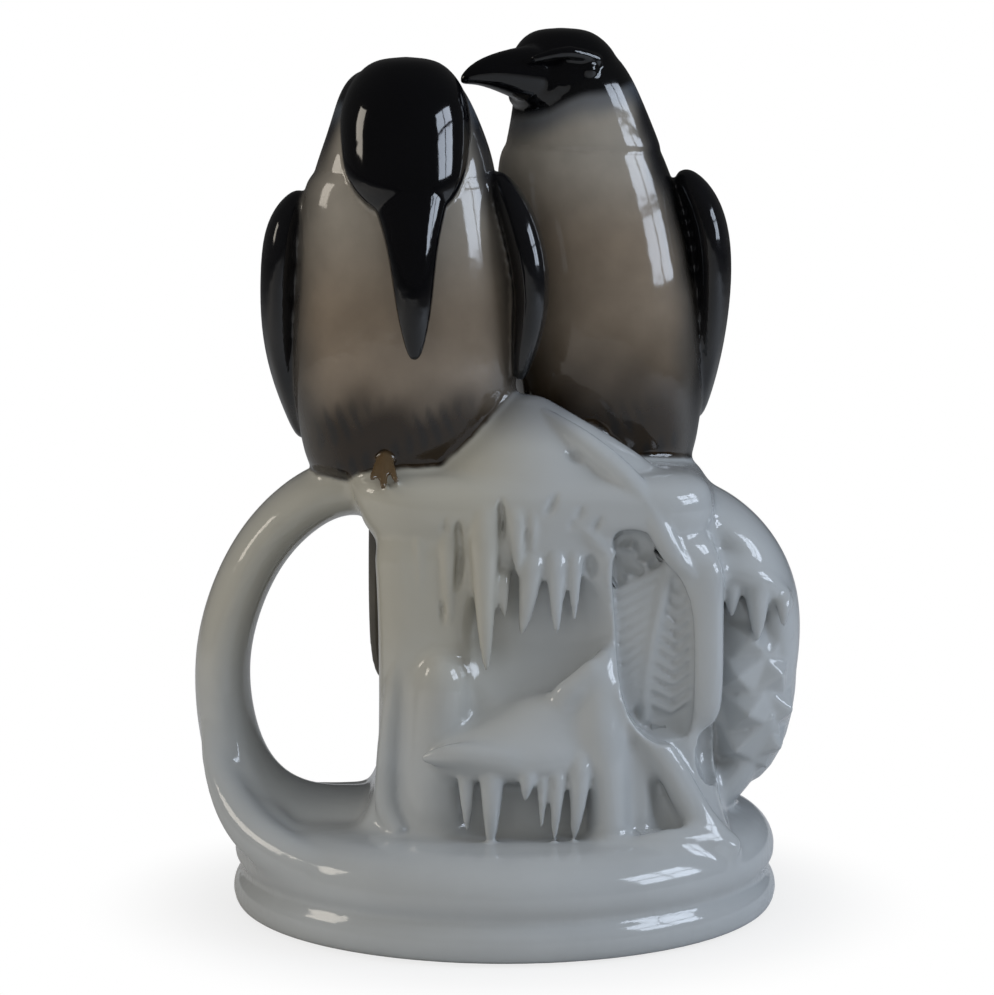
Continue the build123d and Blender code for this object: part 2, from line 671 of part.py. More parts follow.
# Pillar and frost fern in front of the grotto
pillar_x = ROCK_RIGHT_X - PILLAR_SET_IN
with BuildPart() as pillar_blank:
    for rise, size in ((0, PILLAR_FOOT_SHARE), (PILLAR_KNEE_SHARE, 1), (1, PILLAR_HEAD_SHARE)):
        with BuildSketch(Plane(origin=(pillar_x, ROCK_FRONT_Y, PILLAR_Z + rise * PILLAR_HEIGHT))):
            RectangleRounded(size * PILLAR_WIDTH, size * PILLAR_DEPTH, size * PILLAR_ROUNDING)
    loft(ruled=True)
frost_pillar = seated(pillar_blank, plinth_blank, rock_blank, cap_blank, grotto_arch)
save("frost_pillar", frost_pillar)

fern_x = pillar_x - (PILLAR_WIDTH + FERN_WIDTH) / 2
fern_z = DECK_Z + FERN_Z_SHARE * ROCK_HEIGHT
fern_front = Plane.XZ.offset(FERN_PROUD - ROCK_FRONT_Y)
rib_x = fern_x + RIB_X_SHARE * FERN_WIDTH
with BuildPart() as fern_blank:
    with BuildSketch(fern_front) as leaf:
        with Locations((fern_x, fern_z)):
            RectangleRounded(FERN_WIDTH, FERN_HEIGHT, FERN_ROUNDING)
    extrude(amount=-FERN_DEPTH)
    with BuildSketch(fern_front):
        with Locations((rib_x, fern_z)):
            Rectangle(RIB_WIDTH, FERN_HEIGHT * 2, rotation=-RIB_LEAN)
        add(leaf.sketch, mode=Mode.INTERSECT)
    extrude(amount=RIB_RELIEF)
    with BuildSketch(fern_front):
        for side in (-1, 1):
            with Locations((fern_x + side * FERN_WIDTH / 4, fern_z)):
                with GridLocations(0, BARB_PITCH, 1, BARB_COUNT):
                    SlotOverall(FERN_WIDTH * BARB_LENGTH_SHARE, BARB_WIDTH, rotation=side * BARB_LEAN)
        add(leaf.sketch, mode=Mode.INTERSECT)
    extrude(amount=RIB_RELIEF / 2)
frost_fern = seated(fern_blank, rock_blank, cap_blank, frost_pillar)
save("frost_fern", frost_fern)

# Snow drift: stem, shelf, peak and leaning beam in one casting
drift_base = Vector(DRIFT_X, DRIFT_Y, DECK_Z)
DRIFT_SIZE = (DRIFT_WIDTH, DRIFT_DEPTH, DRIFT_HEIGHT)
beam_points = [
    drift_base + Vector(x * DRIFT_WIDTH, y * DRIFT_DEPTH, z * DRIFT_HEIGHT) for x, y, z in BEAM_SHARES
]
beam_blank = path_loft(beam_points, [(BEAM_DEPTH / 2, BEAM_THICKNESS / 2)] * len(beam_points), DEEP)
drift_blank = fused(
    level_loft(drift_base, *DRIFT_SIZE, STEM_SHARES),
    level_loft(drift_base, *DRIFT_SIZE, SHELF_SHARES),
    level_loft(drift_base, *DRIFT_SIZE, PEAK_SHARES),
    beam_blank,
)
snow_drift = seated(drift_blank, plinth_blank, rock_blank, frost_fern)
save("snow_drift", snow_drift)

# Snow mound on the left column
mound_x = ROCK_X + MOUND_X_SHARE * ROCK_WIDTH
mound_base = Vector(mound_x, ROCK_FRONT_Y, DECK_Z + MOUND_Z_SHARE * ROCK_HEIGHT)
mound_blank = level_loft(mound_base, MOUND_WIDTH, MOUND_DEPTH, MOUND_HEIGHT, MOUND_SHARES)
snow_mound = seated(mound_blank, rock_blank, snow_drift)
save("snow_mound", snow_mound)

# Icicle fringes on the cap, over the niche, under the drift's shelf and inside the grotto
icicle_out = ICICLE_THICKNESS / 2 - ICICLE_SEAT_DEPTH
ICICLE_SIZE = (ICICLE_LENGTH, ICICLE_THICKNESS)
cap_lip = Vector(ROCK_X, ROCK_Y - CAP_DEPTH / 2 - icicle_out, ROCK_TOP_Z)
cap_fringe = icicle_fringe(cap_lip, ROCK_WIDTH, *ICICLE_SIZE, CAP_ICICLE_SHARES)
cap_icicles = seated(cap_fringe, rock_blank, cap_blank, snow_ridge, snow_mound, snow_drift)
save("cap_icicles", cap_icicles)

niche_lip = Vector(ROCK_X, ROCK_FRONT_Y - icicle_out, ROCK_TOP_Z)
niche_fringe = icicle_fringe(niche_lip, ROCK_WIDTH, *ICICLE_SIZE, NICHE_ICICLE_SHARES)
niche_icicles = seated(niche_fringe, rock_blank, cap_blank, cap_icicles)
save("niche_icicles", niche_icicles)

shelf_front_y = DRIFT_Y - DRIFT_DEPTH / 2 + ICICLE_SEAT_DEPTH
shelf_lip = Vector(DRIFT_X, shelf_front_y, DECK_Z + SHELF_LIP_SHARE * DRIFT_HEIGHT)
shelf_fringe = icicle_fringe(shelf_lip, DRIFT_WIDTH, *ICICLE_SIZE, DRIFT_ICICLE_SHARES)
drift_icicles = seated(shelf_fringe, plinth_blank, snow_drift)
save("drift_icicles", drift_icicles)

grotto_lip_y = GROTTO_Y - GROTTO_DEPTH / 2 + ICICLE_THICKNESS
grotto_lip = Vector(ROCK_RIGHT_X, grotto_lip_y, DECK_Z + GROTTO_LIP_SHARE * GROTTO_RISE)
grotto_fringe = icicle_fringe(grotto_lip, GROTTO_REACH, *ICICLE_SIZE, GROTTO_ICICLE_SHARES)
grotto_icicles = seated(grotto_fringe, rock_blank, grotto_arch, grotto_wall, frost_pillar)
save("grotto_icicles", grotto_icicles)

# Bills: the left one hangs from the bowed face, the right one reaches the other bird's crown
left_face_rise = LEFT_FACE_RISE_SHARE * LEFT_HEAD_HEIGHT
left_face = left_neck + Vector(0, -LEFT_FACE_SHARE * LEFT_HEAD_DEPTH, left_face_rise)
with BuildPart() as left_bill_blank:
    for x, y, z, wide, deep in LEFT_BILL_SHARES:
        with BuildSketch(Plane(origin=left_face + Vector(x, y, z) * LEFT_BILL_LENGTH)):
            Ellipse(wide * LEFT_BILL_WIDTH / 2, deep * LEFT_BILL_WIDTH / 2)
    loft()
left_penguin_bill = seated(left_bill_blank, left_body_blank, left_head_blank)
save("left_penguin_bill", left_penguin_bill)

right_face = right_neck + Vector(
    -RIGHT_FACE_SHARE * RIGHT_HEAD_WIDTH, 0, RIGHT_FACE_RISE_SHARE * RIGHT_HEAD_HEIGHT
)
right_bill_points = [
    right_face + Vector(x, y, z) * RIGHT_BILL_LENGTH for x, y, z, _, _ in RIGHT_BILL_SHARES
]
right_bill_halves = [
    (deep * RIGHT_BILL_HEIGHT / 2, tall * RIGHT_BILL_HEIGHT / 2)
    for _, _, _, tall, deep in RIGHT_BILL_SHARES
]
right_bill_blank = path_loft(right_bill_points, right_bill_halves, DEEP)
right_penguin_bill = seated(right_bill_blank, right_body_blank, right_head_blank, left_head_blank)
save("right_penguin_bill", right_penguin_bill)

# Wings
LEFT = -1
RIGHT = 1
left_outer = wing(left_stand, LEFT_SIZE, LEFT, OUTER_WING_SHARES)
left_inner = wing(left_stand, LEFT_SIZE, RIGHT, INNER_WING_SHARES)
right_outer = wing(right_stand, RIGHT_SIZE, RIGHT, OUTER_WING_SHARES, RIGHT_WING_RISE_SHARE)
right_inner = wing(
    right_stand, RIGHT_SIZE, LEFT, INNER_WING_SHARES, RIGHT_WING_RISE_SHARE, HIDDEN_WING_SHARE
)
bodies = (left_body_blank, right_body_blank, left_head_blank, right_head_blank)
ground = (cap_blank, snow_ridge)
left_penguin_outer_wing = seated(left_outer, *bodies, *ground, ice_arch)
left_penguin_inner_wing = seated(left_inner, *bodies, *ground, left_bill_blank)
right_penguin_outer_wing = seated(right_outer, *bodies, *ground, grotto_arch)
right_penguin_inner_wing = seated(right_inner, *bodies, *ground, left_penguin_inner_wing)
save("left_penguin_outer_wing", left_penguin_outer_wing)
save("left_penguin_inner_wing", left_penguin_inner_wing)
save("right_penguin_outer_wing", right_penguin_outer_wing)
save("right_penguin_inner_wing", right_penguin_inner_wing)

# Tails
left_tail_blank = tail(LEFT_X, LEFT_Y + TAIL_START_SHARE * LEFT_BODY_DEPTH)
right_tail_blank = tail(RIGHT_X, RIGHT_Y + TAIL_START_SHARE * RIGHT_BODY_DEPTH)
left_penguin_tail = seated(left_tail_blank, left_body_blank, cap_blank, rock_blank, ice_arch)
right_penguin_tail = seated(right_tail_blank, right_body_blank, cap_blank, rock_blank)
save("left_penguin_tail", left_penguin_tail)
save("right_penguin_tail", right_penguin_tail)

# Foot: toes spread from a pad under the left bird's belly
foot_origin = left_stand + Vector(
    FOOT_X_SHARE * LEFT_BODY_WIDTH, FOOT_Y_SHARE * LEFT_BODY_DEPTH, SEAT_DEPTH
)
with BuildPart() as foot_blank:
    for turn in (-TOE_SPREAD, 0, TOE_SPREAD):
        forward = Vector(sin(radians(turn)), -cos(radians(turn)), 0)
        for reach, size in ((0, TOE_HEEL_SHARE), (TOE_KNUCKLE_SHARE, 1), (1, TOE_TIP_SHARE)):
            with BuildSketch(Plane(origin=foot_origin + forward * reach * TOE_LENGTH, z_dir=forward)):
                Circle(size * TOE_WIDTH / 2)
        loft()
left_penguin_foot = seated(foot_blank, left_body_blank, cap_blank, snow_ridge)
save("left_penguin_foot", left_penguin_foot)
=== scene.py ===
"""Glazed porcelain ornament: two penguins on an ice rock, dressed for rendering.

Every form is modelled as clay, in millimetres from the centre of the plinth's foot, with Blender's own
operators. The clay forms are pressed together, softened as glaze softens them, painted with underglaze
colours worked out with numpy, and parted again along the luting seams, so that each casting of the frame
gets its own piece.
"""

from __future__ import annotations

import logging
import math
from dataclasses import dataclass
from enum import Enum
from typing import Any, Iterable, Sequence

import bpy
import numpy as np
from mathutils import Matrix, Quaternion, Vector
from mathutils.kdtree import KDTree

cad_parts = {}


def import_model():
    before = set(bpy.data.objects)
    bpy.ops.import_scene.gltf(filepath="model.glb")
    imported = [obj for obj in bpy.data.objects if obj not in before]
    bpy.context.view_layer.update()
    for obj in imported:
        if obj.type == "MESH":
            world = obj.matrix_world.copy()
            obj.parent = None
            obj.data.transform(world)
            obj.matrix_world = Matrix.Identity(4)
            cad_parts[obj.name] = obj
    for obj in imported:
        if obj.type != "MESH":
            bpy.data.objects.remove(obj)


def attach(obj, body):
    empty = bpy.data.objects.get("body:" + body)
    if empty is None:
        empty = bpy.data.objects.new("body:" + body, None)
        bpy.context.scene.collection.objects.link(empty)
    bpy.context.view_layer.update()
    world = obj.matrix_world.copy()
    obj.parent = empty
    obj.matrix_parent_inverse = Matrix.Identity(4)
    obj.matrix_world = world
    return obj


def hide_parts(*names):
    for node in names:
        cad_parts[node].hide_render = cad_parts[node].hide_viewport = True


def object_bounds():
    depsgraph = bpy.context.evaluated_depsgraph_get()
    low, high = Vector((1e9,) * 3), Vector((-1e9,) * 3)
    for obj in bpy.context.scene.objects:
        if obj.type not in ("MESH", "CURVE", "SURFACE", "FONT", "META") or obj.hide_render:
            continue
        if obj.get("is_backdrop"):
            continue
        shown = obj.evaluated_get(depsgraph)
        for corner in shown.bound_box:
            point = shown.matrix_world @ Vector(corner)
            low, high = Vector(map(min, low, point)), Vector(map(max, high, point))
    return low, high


LOG = logging.getLogger("figurine")

FIGURE_HEIGHT_MM = 200.0
IMAGE_WIDTH_PX = 994
PLINTH_SEGMENTS = 144
BIRD_SEGMENTS = 32
ICICLE_SEGMENTS = 16

Row = Sequence[float]
Colour = tuple[float, float, float]


class Paint(Enum):
    """Underglaze colours, one brush for each."""

    ICE = 0
    BLACK = 1
    PLUMAGE = 2
    WING = 3
    TOE = 4


class Turn(Enum):
    """The axis that a swept form turns about along its path."""

    X = 0
    Y = 1
    Z = 2


@dataclass
class Form:
    """One lump of clay: its object, its casting, its brush, and whether it is laid on after the softening."""

    piece: bpy.types.Object
    casting: str
    paint: Paint
    late: bool = False


def linear(red: int, green: int, blue: int) -> Colour:
    """A display colour, 0 to 255, as linear light."""
    shares = [value / 255 for value in (red, green, blue)]
    return tuple(v / 12.92 if v <= 0.04045 else ((v + 0.055) / 1.055) ** 2.4 for v in shares)


def ease(values: np.ndarray, low: float, high: float) -> np.ndarray:
    """A smooth step from 0 at low to 1 at high."""
    share = np.clip((values - low) / (high - low), 0.0, 1.0)
    return share * share * (3.0 - 2.0 * share)


def fall(values: np.ndarray, high: float, low: float) -> np.ndarray:
    """A smooth step from 0 at high, growing to 1 at low."""
    return ease(-values, -high, -low)


def activate(*pieces: bpy.types.Object) -> None:
    """Selects these pieces alone and makes the first one active."""
    bpy.ops.object.select_all(action="DESELECT")
    for piece in pieces:
        piece.select_set(True)
    bpy.context.view_layer.objects.active = pieces[0]


def modify(piece: bpy.types.Object, kind: str, **settings: Any) -> None:
    """Applies one modifier with these settings to the active piece."""
    modifier = piece.modifiers.new("worked", kind)
    for name, value in settings.items():
        setattr(modifier, name, value)
    bpy.ops.object.modifier_apply(modifier=modifier.name)


def read(items: Sequence[Any], name: str, width: int = 1, kind: type = np.float64) -> np.ndarray:
    """One value of every item as an array, in rows where the value has a width."""
    values = np.empty(len(items) * width, dtype=kind)
    items.foreach_get(name, values)
    return values if width == 1 else values.reshape(-1, width)


class Workbench:
    """Shapes clay with Blender's operators. All lengths that it takes are millimetres."""

    def __init__(self, unit: float) -> None:
        """Args: unit: metres per millimetre of the figurine."""
        self.unit = unit
        self.forms: list[Form] = []
        self.cutters: list[bpy.types.Object] = []

    def _vector(self, x: float, y: float, z: float) -> Vector:
        """A place in metres."""
        return Vector((x, y, z)) * self.unit

    @staticmethod
    def _clear() -> None:
        """Leaves edit mode and deselects everything."""
        if bpy.context.object and bpy.context.object.mode != "OBJECT":
            bpy.ops.object.mode_set(mode="OBJECT")
        bpy.ops.object.select_all(action="DESELECT")

    def _keep(self, casting: str, paint: Paint, levels: int) -> bpy.types.Object:
        """Finishes the active form: subdivides it, applies its place and files it under its casting."""
        piece = bpy.context.object
        if levels:
            modify(piece, "SUBSURF", levels=levels, render_levels=levels)
        bpy.ops.object.transform_apply(location=True, rotation=True, scale=True)
        self.forms.append(Form(piece, casting, paint))
        return piece

    def _skin(self, casting: str, paint: Paint, levels: int) -> bpy.types.Object:
        """Turns the skin of an extruded form outwards, leaves edit mode and finishes the form."""
        bpy.ops.mesh.select_all(action="SELECT")
        bpy.ops.mesh.normals_make_consistent(inside=False)
        bpy.ops.object.mode_set(mode="OBJECT")
        return self._keep(casting, paint, levels)

    def level(
        self, casting: str, rows: Iterable[Row], paint: Paint = Paint.ICE, segments: int = 28, levels: int = 2,
        corner: float = 0.0,
    ) -> bpy.types.Object:
        """Stacks level rings by extruding upwards.

        Args:
            casting: the frame's node that the form belongs to.
            rows: x, y, z, half width and half depth of each ring.
            paint: its brush.
            segments: corners of an elliptical ring.
            levels: subdivision levels.
            corner: share of the half width that rounds a square ring's corners; 0 gives ellipses.
        Returns:
            The finished form.
        """
        self._clear()
        rows = list(rows)
        x, y, z, half_x, half_y = rows[0]
        centre = self._vector(x, y, z)
        if corner:
            bpy.ops.mesh.primitive_plane_add(size=2 * self.unit, location=centre)
            bpy.ops.object.mode_set(mode="EDIT")
            bpy.ops.mesh.bevel(affect="VERTICES", offset=corner * self.unit, segments=5)
        else:
            bpy.ops.mesh.primitive_circle_add(
                vertices=segments, radius=self.unit, fill_type="NGON", location=centre
            )
            bpy.ops.object.mode_set(mode="EDIT")
        bpy.ops.transform.resize(value=(half_x, half_y, 1), center_override=centre)
        for before, row in zip(rows, rows[1:]):
            step = [(row[axis] - before[axis]) * self.unit for axis in range(3)]
            bpy.ops.mesh.extrude_region_move(TRANSFORM_OT_translate={"value": step})
            bpy.ops.transform.resize(
                value=(row[3] / before[3], row[4] / before[4], 1), center_override=self._vector(*row[:3])
            )
        return self._skin(casting, paint, levels)

    def swept(
        self, casting: str, turn: Turn, rows: Iterable[Row], paint: Paint = Paint.ICE, segments: int = 24,
        levels: int = 2,
    ) -> bpy.types.Object:
        """Extrudes an elliptical ring along a path that stays square to one axis.

        Args:
            casting: the frame's node that the form belongs to.
            turn: the axis that the ring turns about.
            rows: x, y, z, half size along that axis and half size square to it, for each ring.
            paint: its brush.
            segments: corners of the ring.
            levels: subdivision levels.
        Returns:
            The finished form.
        """
        self._clear()
        rows = list(rows)
        places = [Vector(row[:3]) for row in rows]
        last = len(rows) - 1
        angles = []
        for index in range(len(rows)):
            tangent = places[min(index + 1, last)] - places[max(index - 1, 0)]
            if turn is Turn.X:
                angle = math.atan2(-tangent.y, tangent.z)
            elif turn is Turn.Y:
                angle = math.atan2(tangent.x, tangent.z)
            else:
                angle = math.atan2(tangent.y, tangent.x)
            if angles:
                angle += 2 * math.pi * round((angles[-1] - angle) / (2 * math.pi))
            angles.append(angle)
        start = [0.0, math.pi / 2 if turn is Turn.Z else 0.0, 0.0]
        start[turn.value] += angles[0]
        centre = self._vector(*rows[0][:3])
        bpy.ops.mesh.primitive_circle_add(
            vertices=segments, radius=self.unit, fill_type="NGON", location=centre, rotation=start
        )
        bpy.ops.object.mode_set(mode="EDIT")
        self._stretch(turn, rows[0][3], rows[0][4], centre)
        for index in range(1, len(rows)):
            centre = self._vector(*rows[index][:3])
            step = centre - self._vector(*rows[index - 1][:3])
            bpy.ops.mesh.extrude_region_move(TRANSFORM_OT_translate={"value": step})
            bpy.ops.transform.rotate(
                value=angles[index - 1] - angles[index], orient_axis=turn.name, center_override=centre
            )
            along = rows[index][3] / rows[index - 1][3]
            square = rows[index][4] / rows[index - 1][4]
            self._stretch(turn, along, square, centre)
        return self._skin(casting, paint, levels)

    @staticmethod
    def _stretch(turn: Turn, along: float, square: float, centre: Vector) -> None:
        """Scales the selected ring along the turning axis and square to it."""
        value = [square, square, square]
        value[turn.value] = along
        bpy.ops.transform.resize(value=value, center_override=centre)

    def blob(
        self, casting: str, place: Row, halves: Row, turn: Row = (0, 0, 0), paint: Paint = Paint.ICE
    ) -> bpy.types.Object:
        """A rounded lump: its middle, its half sizes and its turn about X, Y and Z in degrees."""
        self._clear()
        bpy.ops.mesh.primitive_uv_sphere_add(
            segments=24,
            ring_count=16,
            radius=self.unit,
            location=self._vector(*place),
            rotation=[math.radians(angle) for angle in turn],
            scale=halves,
        )
        return self._keep(casting, paint, 0)

    def rod(self, casting: str, points: Iterable[Row], paint: Paint = Paint.ICE) -> bpy.types.Object:
        """A soft rod through points; each is x, y, z and its radius there."""
        self._clear()
        points = list(points)
        curve = bpy.data.curves.new("rod", "CURVE")
        curve.dimensions = "3D"
        curve.bevel_depth = self.unit
        curve.bevel_resolution = 3
        curve.resolution_u = 6
        curve.use_fill_caps = True
        spline = curve.splines.new("NURBS")
        spline.points.add(len(points) - 1)
        for knot, (x, y, z, radius) in zip(spline.points, points):
            knot.co = (*self._vector(x, y, z), 1)
            knot.radius = radius
        spline.order_u = min(3, len(points))
        spline.use_endpoint_u = True
        piece = bpy.data.objects.new("rod", curve)
        bpy.context.collection.objects.link(piece)
        activate(piece)
        bpy.ops.object.convert(target="MESH")
        return self._keep(casting, paint, 0)

    def spike(
        self, casting: str, place: Row, radius: float, height: float, turn: Row, corners: int = 4
    ) -> bpy.types.Object:
        """A pyramid of ice: its middle, its foot's radius, its height, turn in degrees and number of corners."""
        self._clear()
        bpy.ops.mesh.primitive_cone_add(
            vertices=corners,
            radius1=radius * self.unit,
            radius2=0,
            depth=height * self.unit,
            location=self._vector(*place),
            rotation=[math.radians(angle) for angle in turn],
        )
        return self._keep(casting, Paint.ICE, 0)

    def carve(self, body: bpy.types.Object, cutter: bpy.types.Object) -> None:
        """Takes the cutter's shape out of the body and throws the cutter away."""
        self._clear()
        self._withdraw(cutter)
        activate(body)
        modify(body, "BOOLEAN", operation="DIFFERENCE", solver="EXACT", object=cutter)
        bpy.data.objects.remove(cutter)

    def _withdraw(self, piece: bpy.types.Object) -> None:
        """Takes a tool off the list of forms."""
        self.forms = [form for form in self.forms if form.piece is not piece]

    def late(self, piece: bpy.types.Object) -> None:
        """Marks a form that is laid on only after its mass is softened."""
        for form in self.forms:
            form.late |= form.piece is piece

    def gouge(self, piece: bpy.types.Object) -> None:
        """Keeps a form back as a tool that the kiln presses out of the softened clay."""
        self._withdraw(piece)
        self.cutters.append(piece)


@dataclass
class Plinth:
    """The round stand: two rings over a foot, open underneath."""

    casting: str = "plinth"
    profile: Sequence[Row] = (
        # radius, height, from the middle of the hollow's ceiling, round the foot, to the deck
        (46.0, 17.5), (51.6, 16.2), (54.6, 13.2), (55.6, 9.5), (55.8, 0.5), (56.3, 0.1), (60.2, 0.1),
        (61.2, 0.5), (62.1, 2.0), (62.6, 4.2), (62.4, 6.2), (61.4, 8.0), (58.6, 9.1), (60.6, 10.2),
        (61.9, 11.7), (62.2, 13.6), (62.0, 15.8), (60.9, 18.4), (58.4, 20.9), (54.0, 22.4), (46.0, 22.8),
    )
    dip: Row = (-40.0, 50.0, 41.0)
    dip_halves: Row = (36.0, 40.0, 25.0)

    def shape(self, bench: Workbench) -> None:
        """Turns the stand."""
        rows = [(0, 0, height, radius, radius) for radius, height in self.profile]
        stand = bench.level(self.casting, rows, segments=PLINTH_SEGMENTS, levels=0)
        bench.carve(stand, bench.blob(self.casting, self.dip, self.dip_halves))


@dataclass
class Rock:
    """The hollow block with its niche, the cap on it and the ridge between the birds."""

    body: Sequence[Row] = (
        (8.0, -2.0, 18.0, 45.0, 35.0), (8.6, -2.4, 22.5, 41.6, 31.6), (9.2, -2.8, 28.0, 38.9, 29.0),
        (9.3, -3.0, 36.0, 37.8, 27.8), (9.3, -3.0, 50.0, 37.5, 27.4), (9.3, -3.0, 70.0, 37.6, 27.6),
        (9.2, -3.0, 84.0, 38.2, 28.4), (9.0, -3.0, 92.0, 38.8, 29.0),
    )
    niche: Row = (7.0, -35.5, 67.0)
    niche_halves: Row = (19.5, 10.5, 20.0)
    curtain: Sequence[Row] = (
        (6.5, -27.0, 81.5, 16.0, 3.2), (6.5, -27.4, 84.5, 17.8, 4.6), (6.0, -27.4, 90.0, 18.6, 5.2),
        (5.5, -27.2, 96.0, 18.6, 5.4), (5.0, -26.6, 101.0, 17.6, 5.0),
    )
    cap: Sequence[Row] = (
        (7.2, -3.0, 84.0, 36.6, 27.4), (7.5, -3.0, 90.0, 39.0, 29.6), (6.7, -3.0, 96.0, 40.6, 30.4),
        (5.2, -2.7, 100.4, 40.2, 28.8), (4.3, -2.0, 103.2, 35.2, 24.0),
    )
    ridge: Sequence[Row] = (
        (10.5, -16.5, 90.0, 31.5, 15.8), (9.8, -16.5, 97.0, 29.5, 15.8), (8.8, -16.0, 102.5, 25.6, 14.2),
        (7.6, -15.5, 107.5, 19.6, 11.6), (6.4, -15.0, 112.0, 13.0, 9.0), (5.4, -14.4, 116.0, 7.0, 6.6),
        (5.0, -14.0, 118.8, 3.0, 3.6),
    )
    crest: Sequence[Row] = (
        (8.0, -19.4, 115.0, 1.4), (14.0, -23.2, 111.4, 2.4), (20.0, -26.1, 107.0, 2.9), (26.0, -28.2, 102.0, 3.1),
        (31.0, -29.6, 96.0, 3.1), (34.4, -30.2, 89.6, 2.9), (38.0, -29.8, 83.0, 2.6), (43.0, -28.8, 78.6, 2.2),
    )
    welt: Sequence[Row] = (
        (9.0, -29.6, 99.0, 1.4), (14.0, -30.3, 94.6, 2.2), (19.0, -30.4, 89.4, 2.3), (23.6, -30.0, 84.0, 1.6)
    )
    folds: Sequence[Sequence[Row]] = (
        (
            (-22.6, -27.4, 66.0, 1.2), (-24.0, -28.0, 58.0, 2.2), (-25.4, -27.6, 46.0, 2.6), (-26.2, -28.0, 34.0, 2.8),
            (-26.0, -30.0, 26.0, 3.0), (-23.0, -34.0, 22.4, 2.6),
        ),
        ((-25.4, -26.6, 92.0, 1.0), (-24.8, -27.2, 84.0, 1.8), (-25.2, -27.0, 74.0, 1.6), (-25.8, -26.4, 66.0, 0.8)),
        ((-19.6, -29.2, 96.0, 1.2), (-18.8, -29.8, 88.0, 1.8), (-18.6, -29.6, 76.0, 1.6), (-19.4, -29.0, 66.0, 0.8)),
    )
    dimple: Row = (15.2, -30.0, 106.4)
    dimple_halves: Row = (3.6, 4.6, 1.9)
    dimple_turn: Row = (0, 30, 0)
    body_corner_share: float = 0.24
    cap_corner_share: float = 0.42

    def shape(self, bench: Workbench) -> None:
        """Builds the block, its niche, the cap and the ridge, and lays the crest, welt and folds on them."""
        block = bench.level("ice_rock", self.body, levels=1, corner=self.body_corner_share)
        bench.carve(block, bench.blob("ice_rock", self.niche, self.niche_halves))
        bench.level("ice_cap", self.cap, levels=1, corner=self.cap_corner_share)
        bench.level("ice_cap", self.curtain)
        bench.level("snow_ridge", self.ridge)
        bench.late(bench.rod("snow_ridge", self.crest))
        bench.late(bench.rod("snow_ridge", self.welt))
        for fold in self.folds:
            bench.late(bench.rod("ice_rock", fold))
        bench.gouge(bench.blob("snow_ridge", self.dimple, self.dimple_halves, self.dimple_turn))


@dataclass
class Arch:
    """The open hoop on the left and the scoop that carries it onto the deck."""

    casting: str = "ice_arch"
    middle_y: float = -3.0
    hoop: Sequence[Row] = (
        # x, z, half depth, half thickness
        (-24.0, 96.4, 14.5, 7.0), (-33.5, 97.4, 14.5, 6.8), (-41.4, 95.6, 13.8, 6.6), (-49.0, 90.2, 13.0, 6.5),
        (-55.6, 82.8, 12.2, 6.4), (-60.9, 72.6, 11.6, 6.4), (-64.3, 61.0, 11.4, 6.4), (-64.8, 50.0, 11.6, 6.4),
        (-63.0, 37.6, 12.6, 6.8), (-59.0, 27.6, 14.6, 7.8), (-52.2, 20.6, 17.5, 9.0), (-43.4, 17.0, 21.0, 9.8),
        (-32.0, 15.8, 24.0, 10.8), (-20.0, 16.0, 26.0, 11.2),
    )
    sweep: Sequence[Row] = (
        # the outer front edge, which runs on over the deck to the plinth's front lip
        (-66.8, -8.5, 52.0, 2.4), (-66.2, -11.0, 41.0, 3.4), (-63.4, -16.0, 30.0, 4.4), (-57.6, -24.0, 22.0, 5.4),
        (-49.0, -33.0, 17.6, 5.6), (-39.0, -41.6, 15.4, 5.4), (-28.0, -48.8, 14.6, 5.0), (-15.0, -54.0, 14.4, 4.6),
    )
    shoulder: Sequence[Row] = ((-60.0, -12.0, 26.0, 6.0), (-52.0, -22.0, 17.5, 6.6), (-42.0, -32.0, 13.5, 7.0))

    def shape(self, bench: Workbench) -> None:
        """Sweeps the hoop and lays its edge along the deck."""
        rows = [(x, self.middle_y, z, deep, thick) for x, z, deep, thick in self.hoop]
        bench.swept(self.casting, Turn.Y, rows)
        bench.rod(self.casting, self.sweep)
        bench.rod(self.casting, self.shoulder)


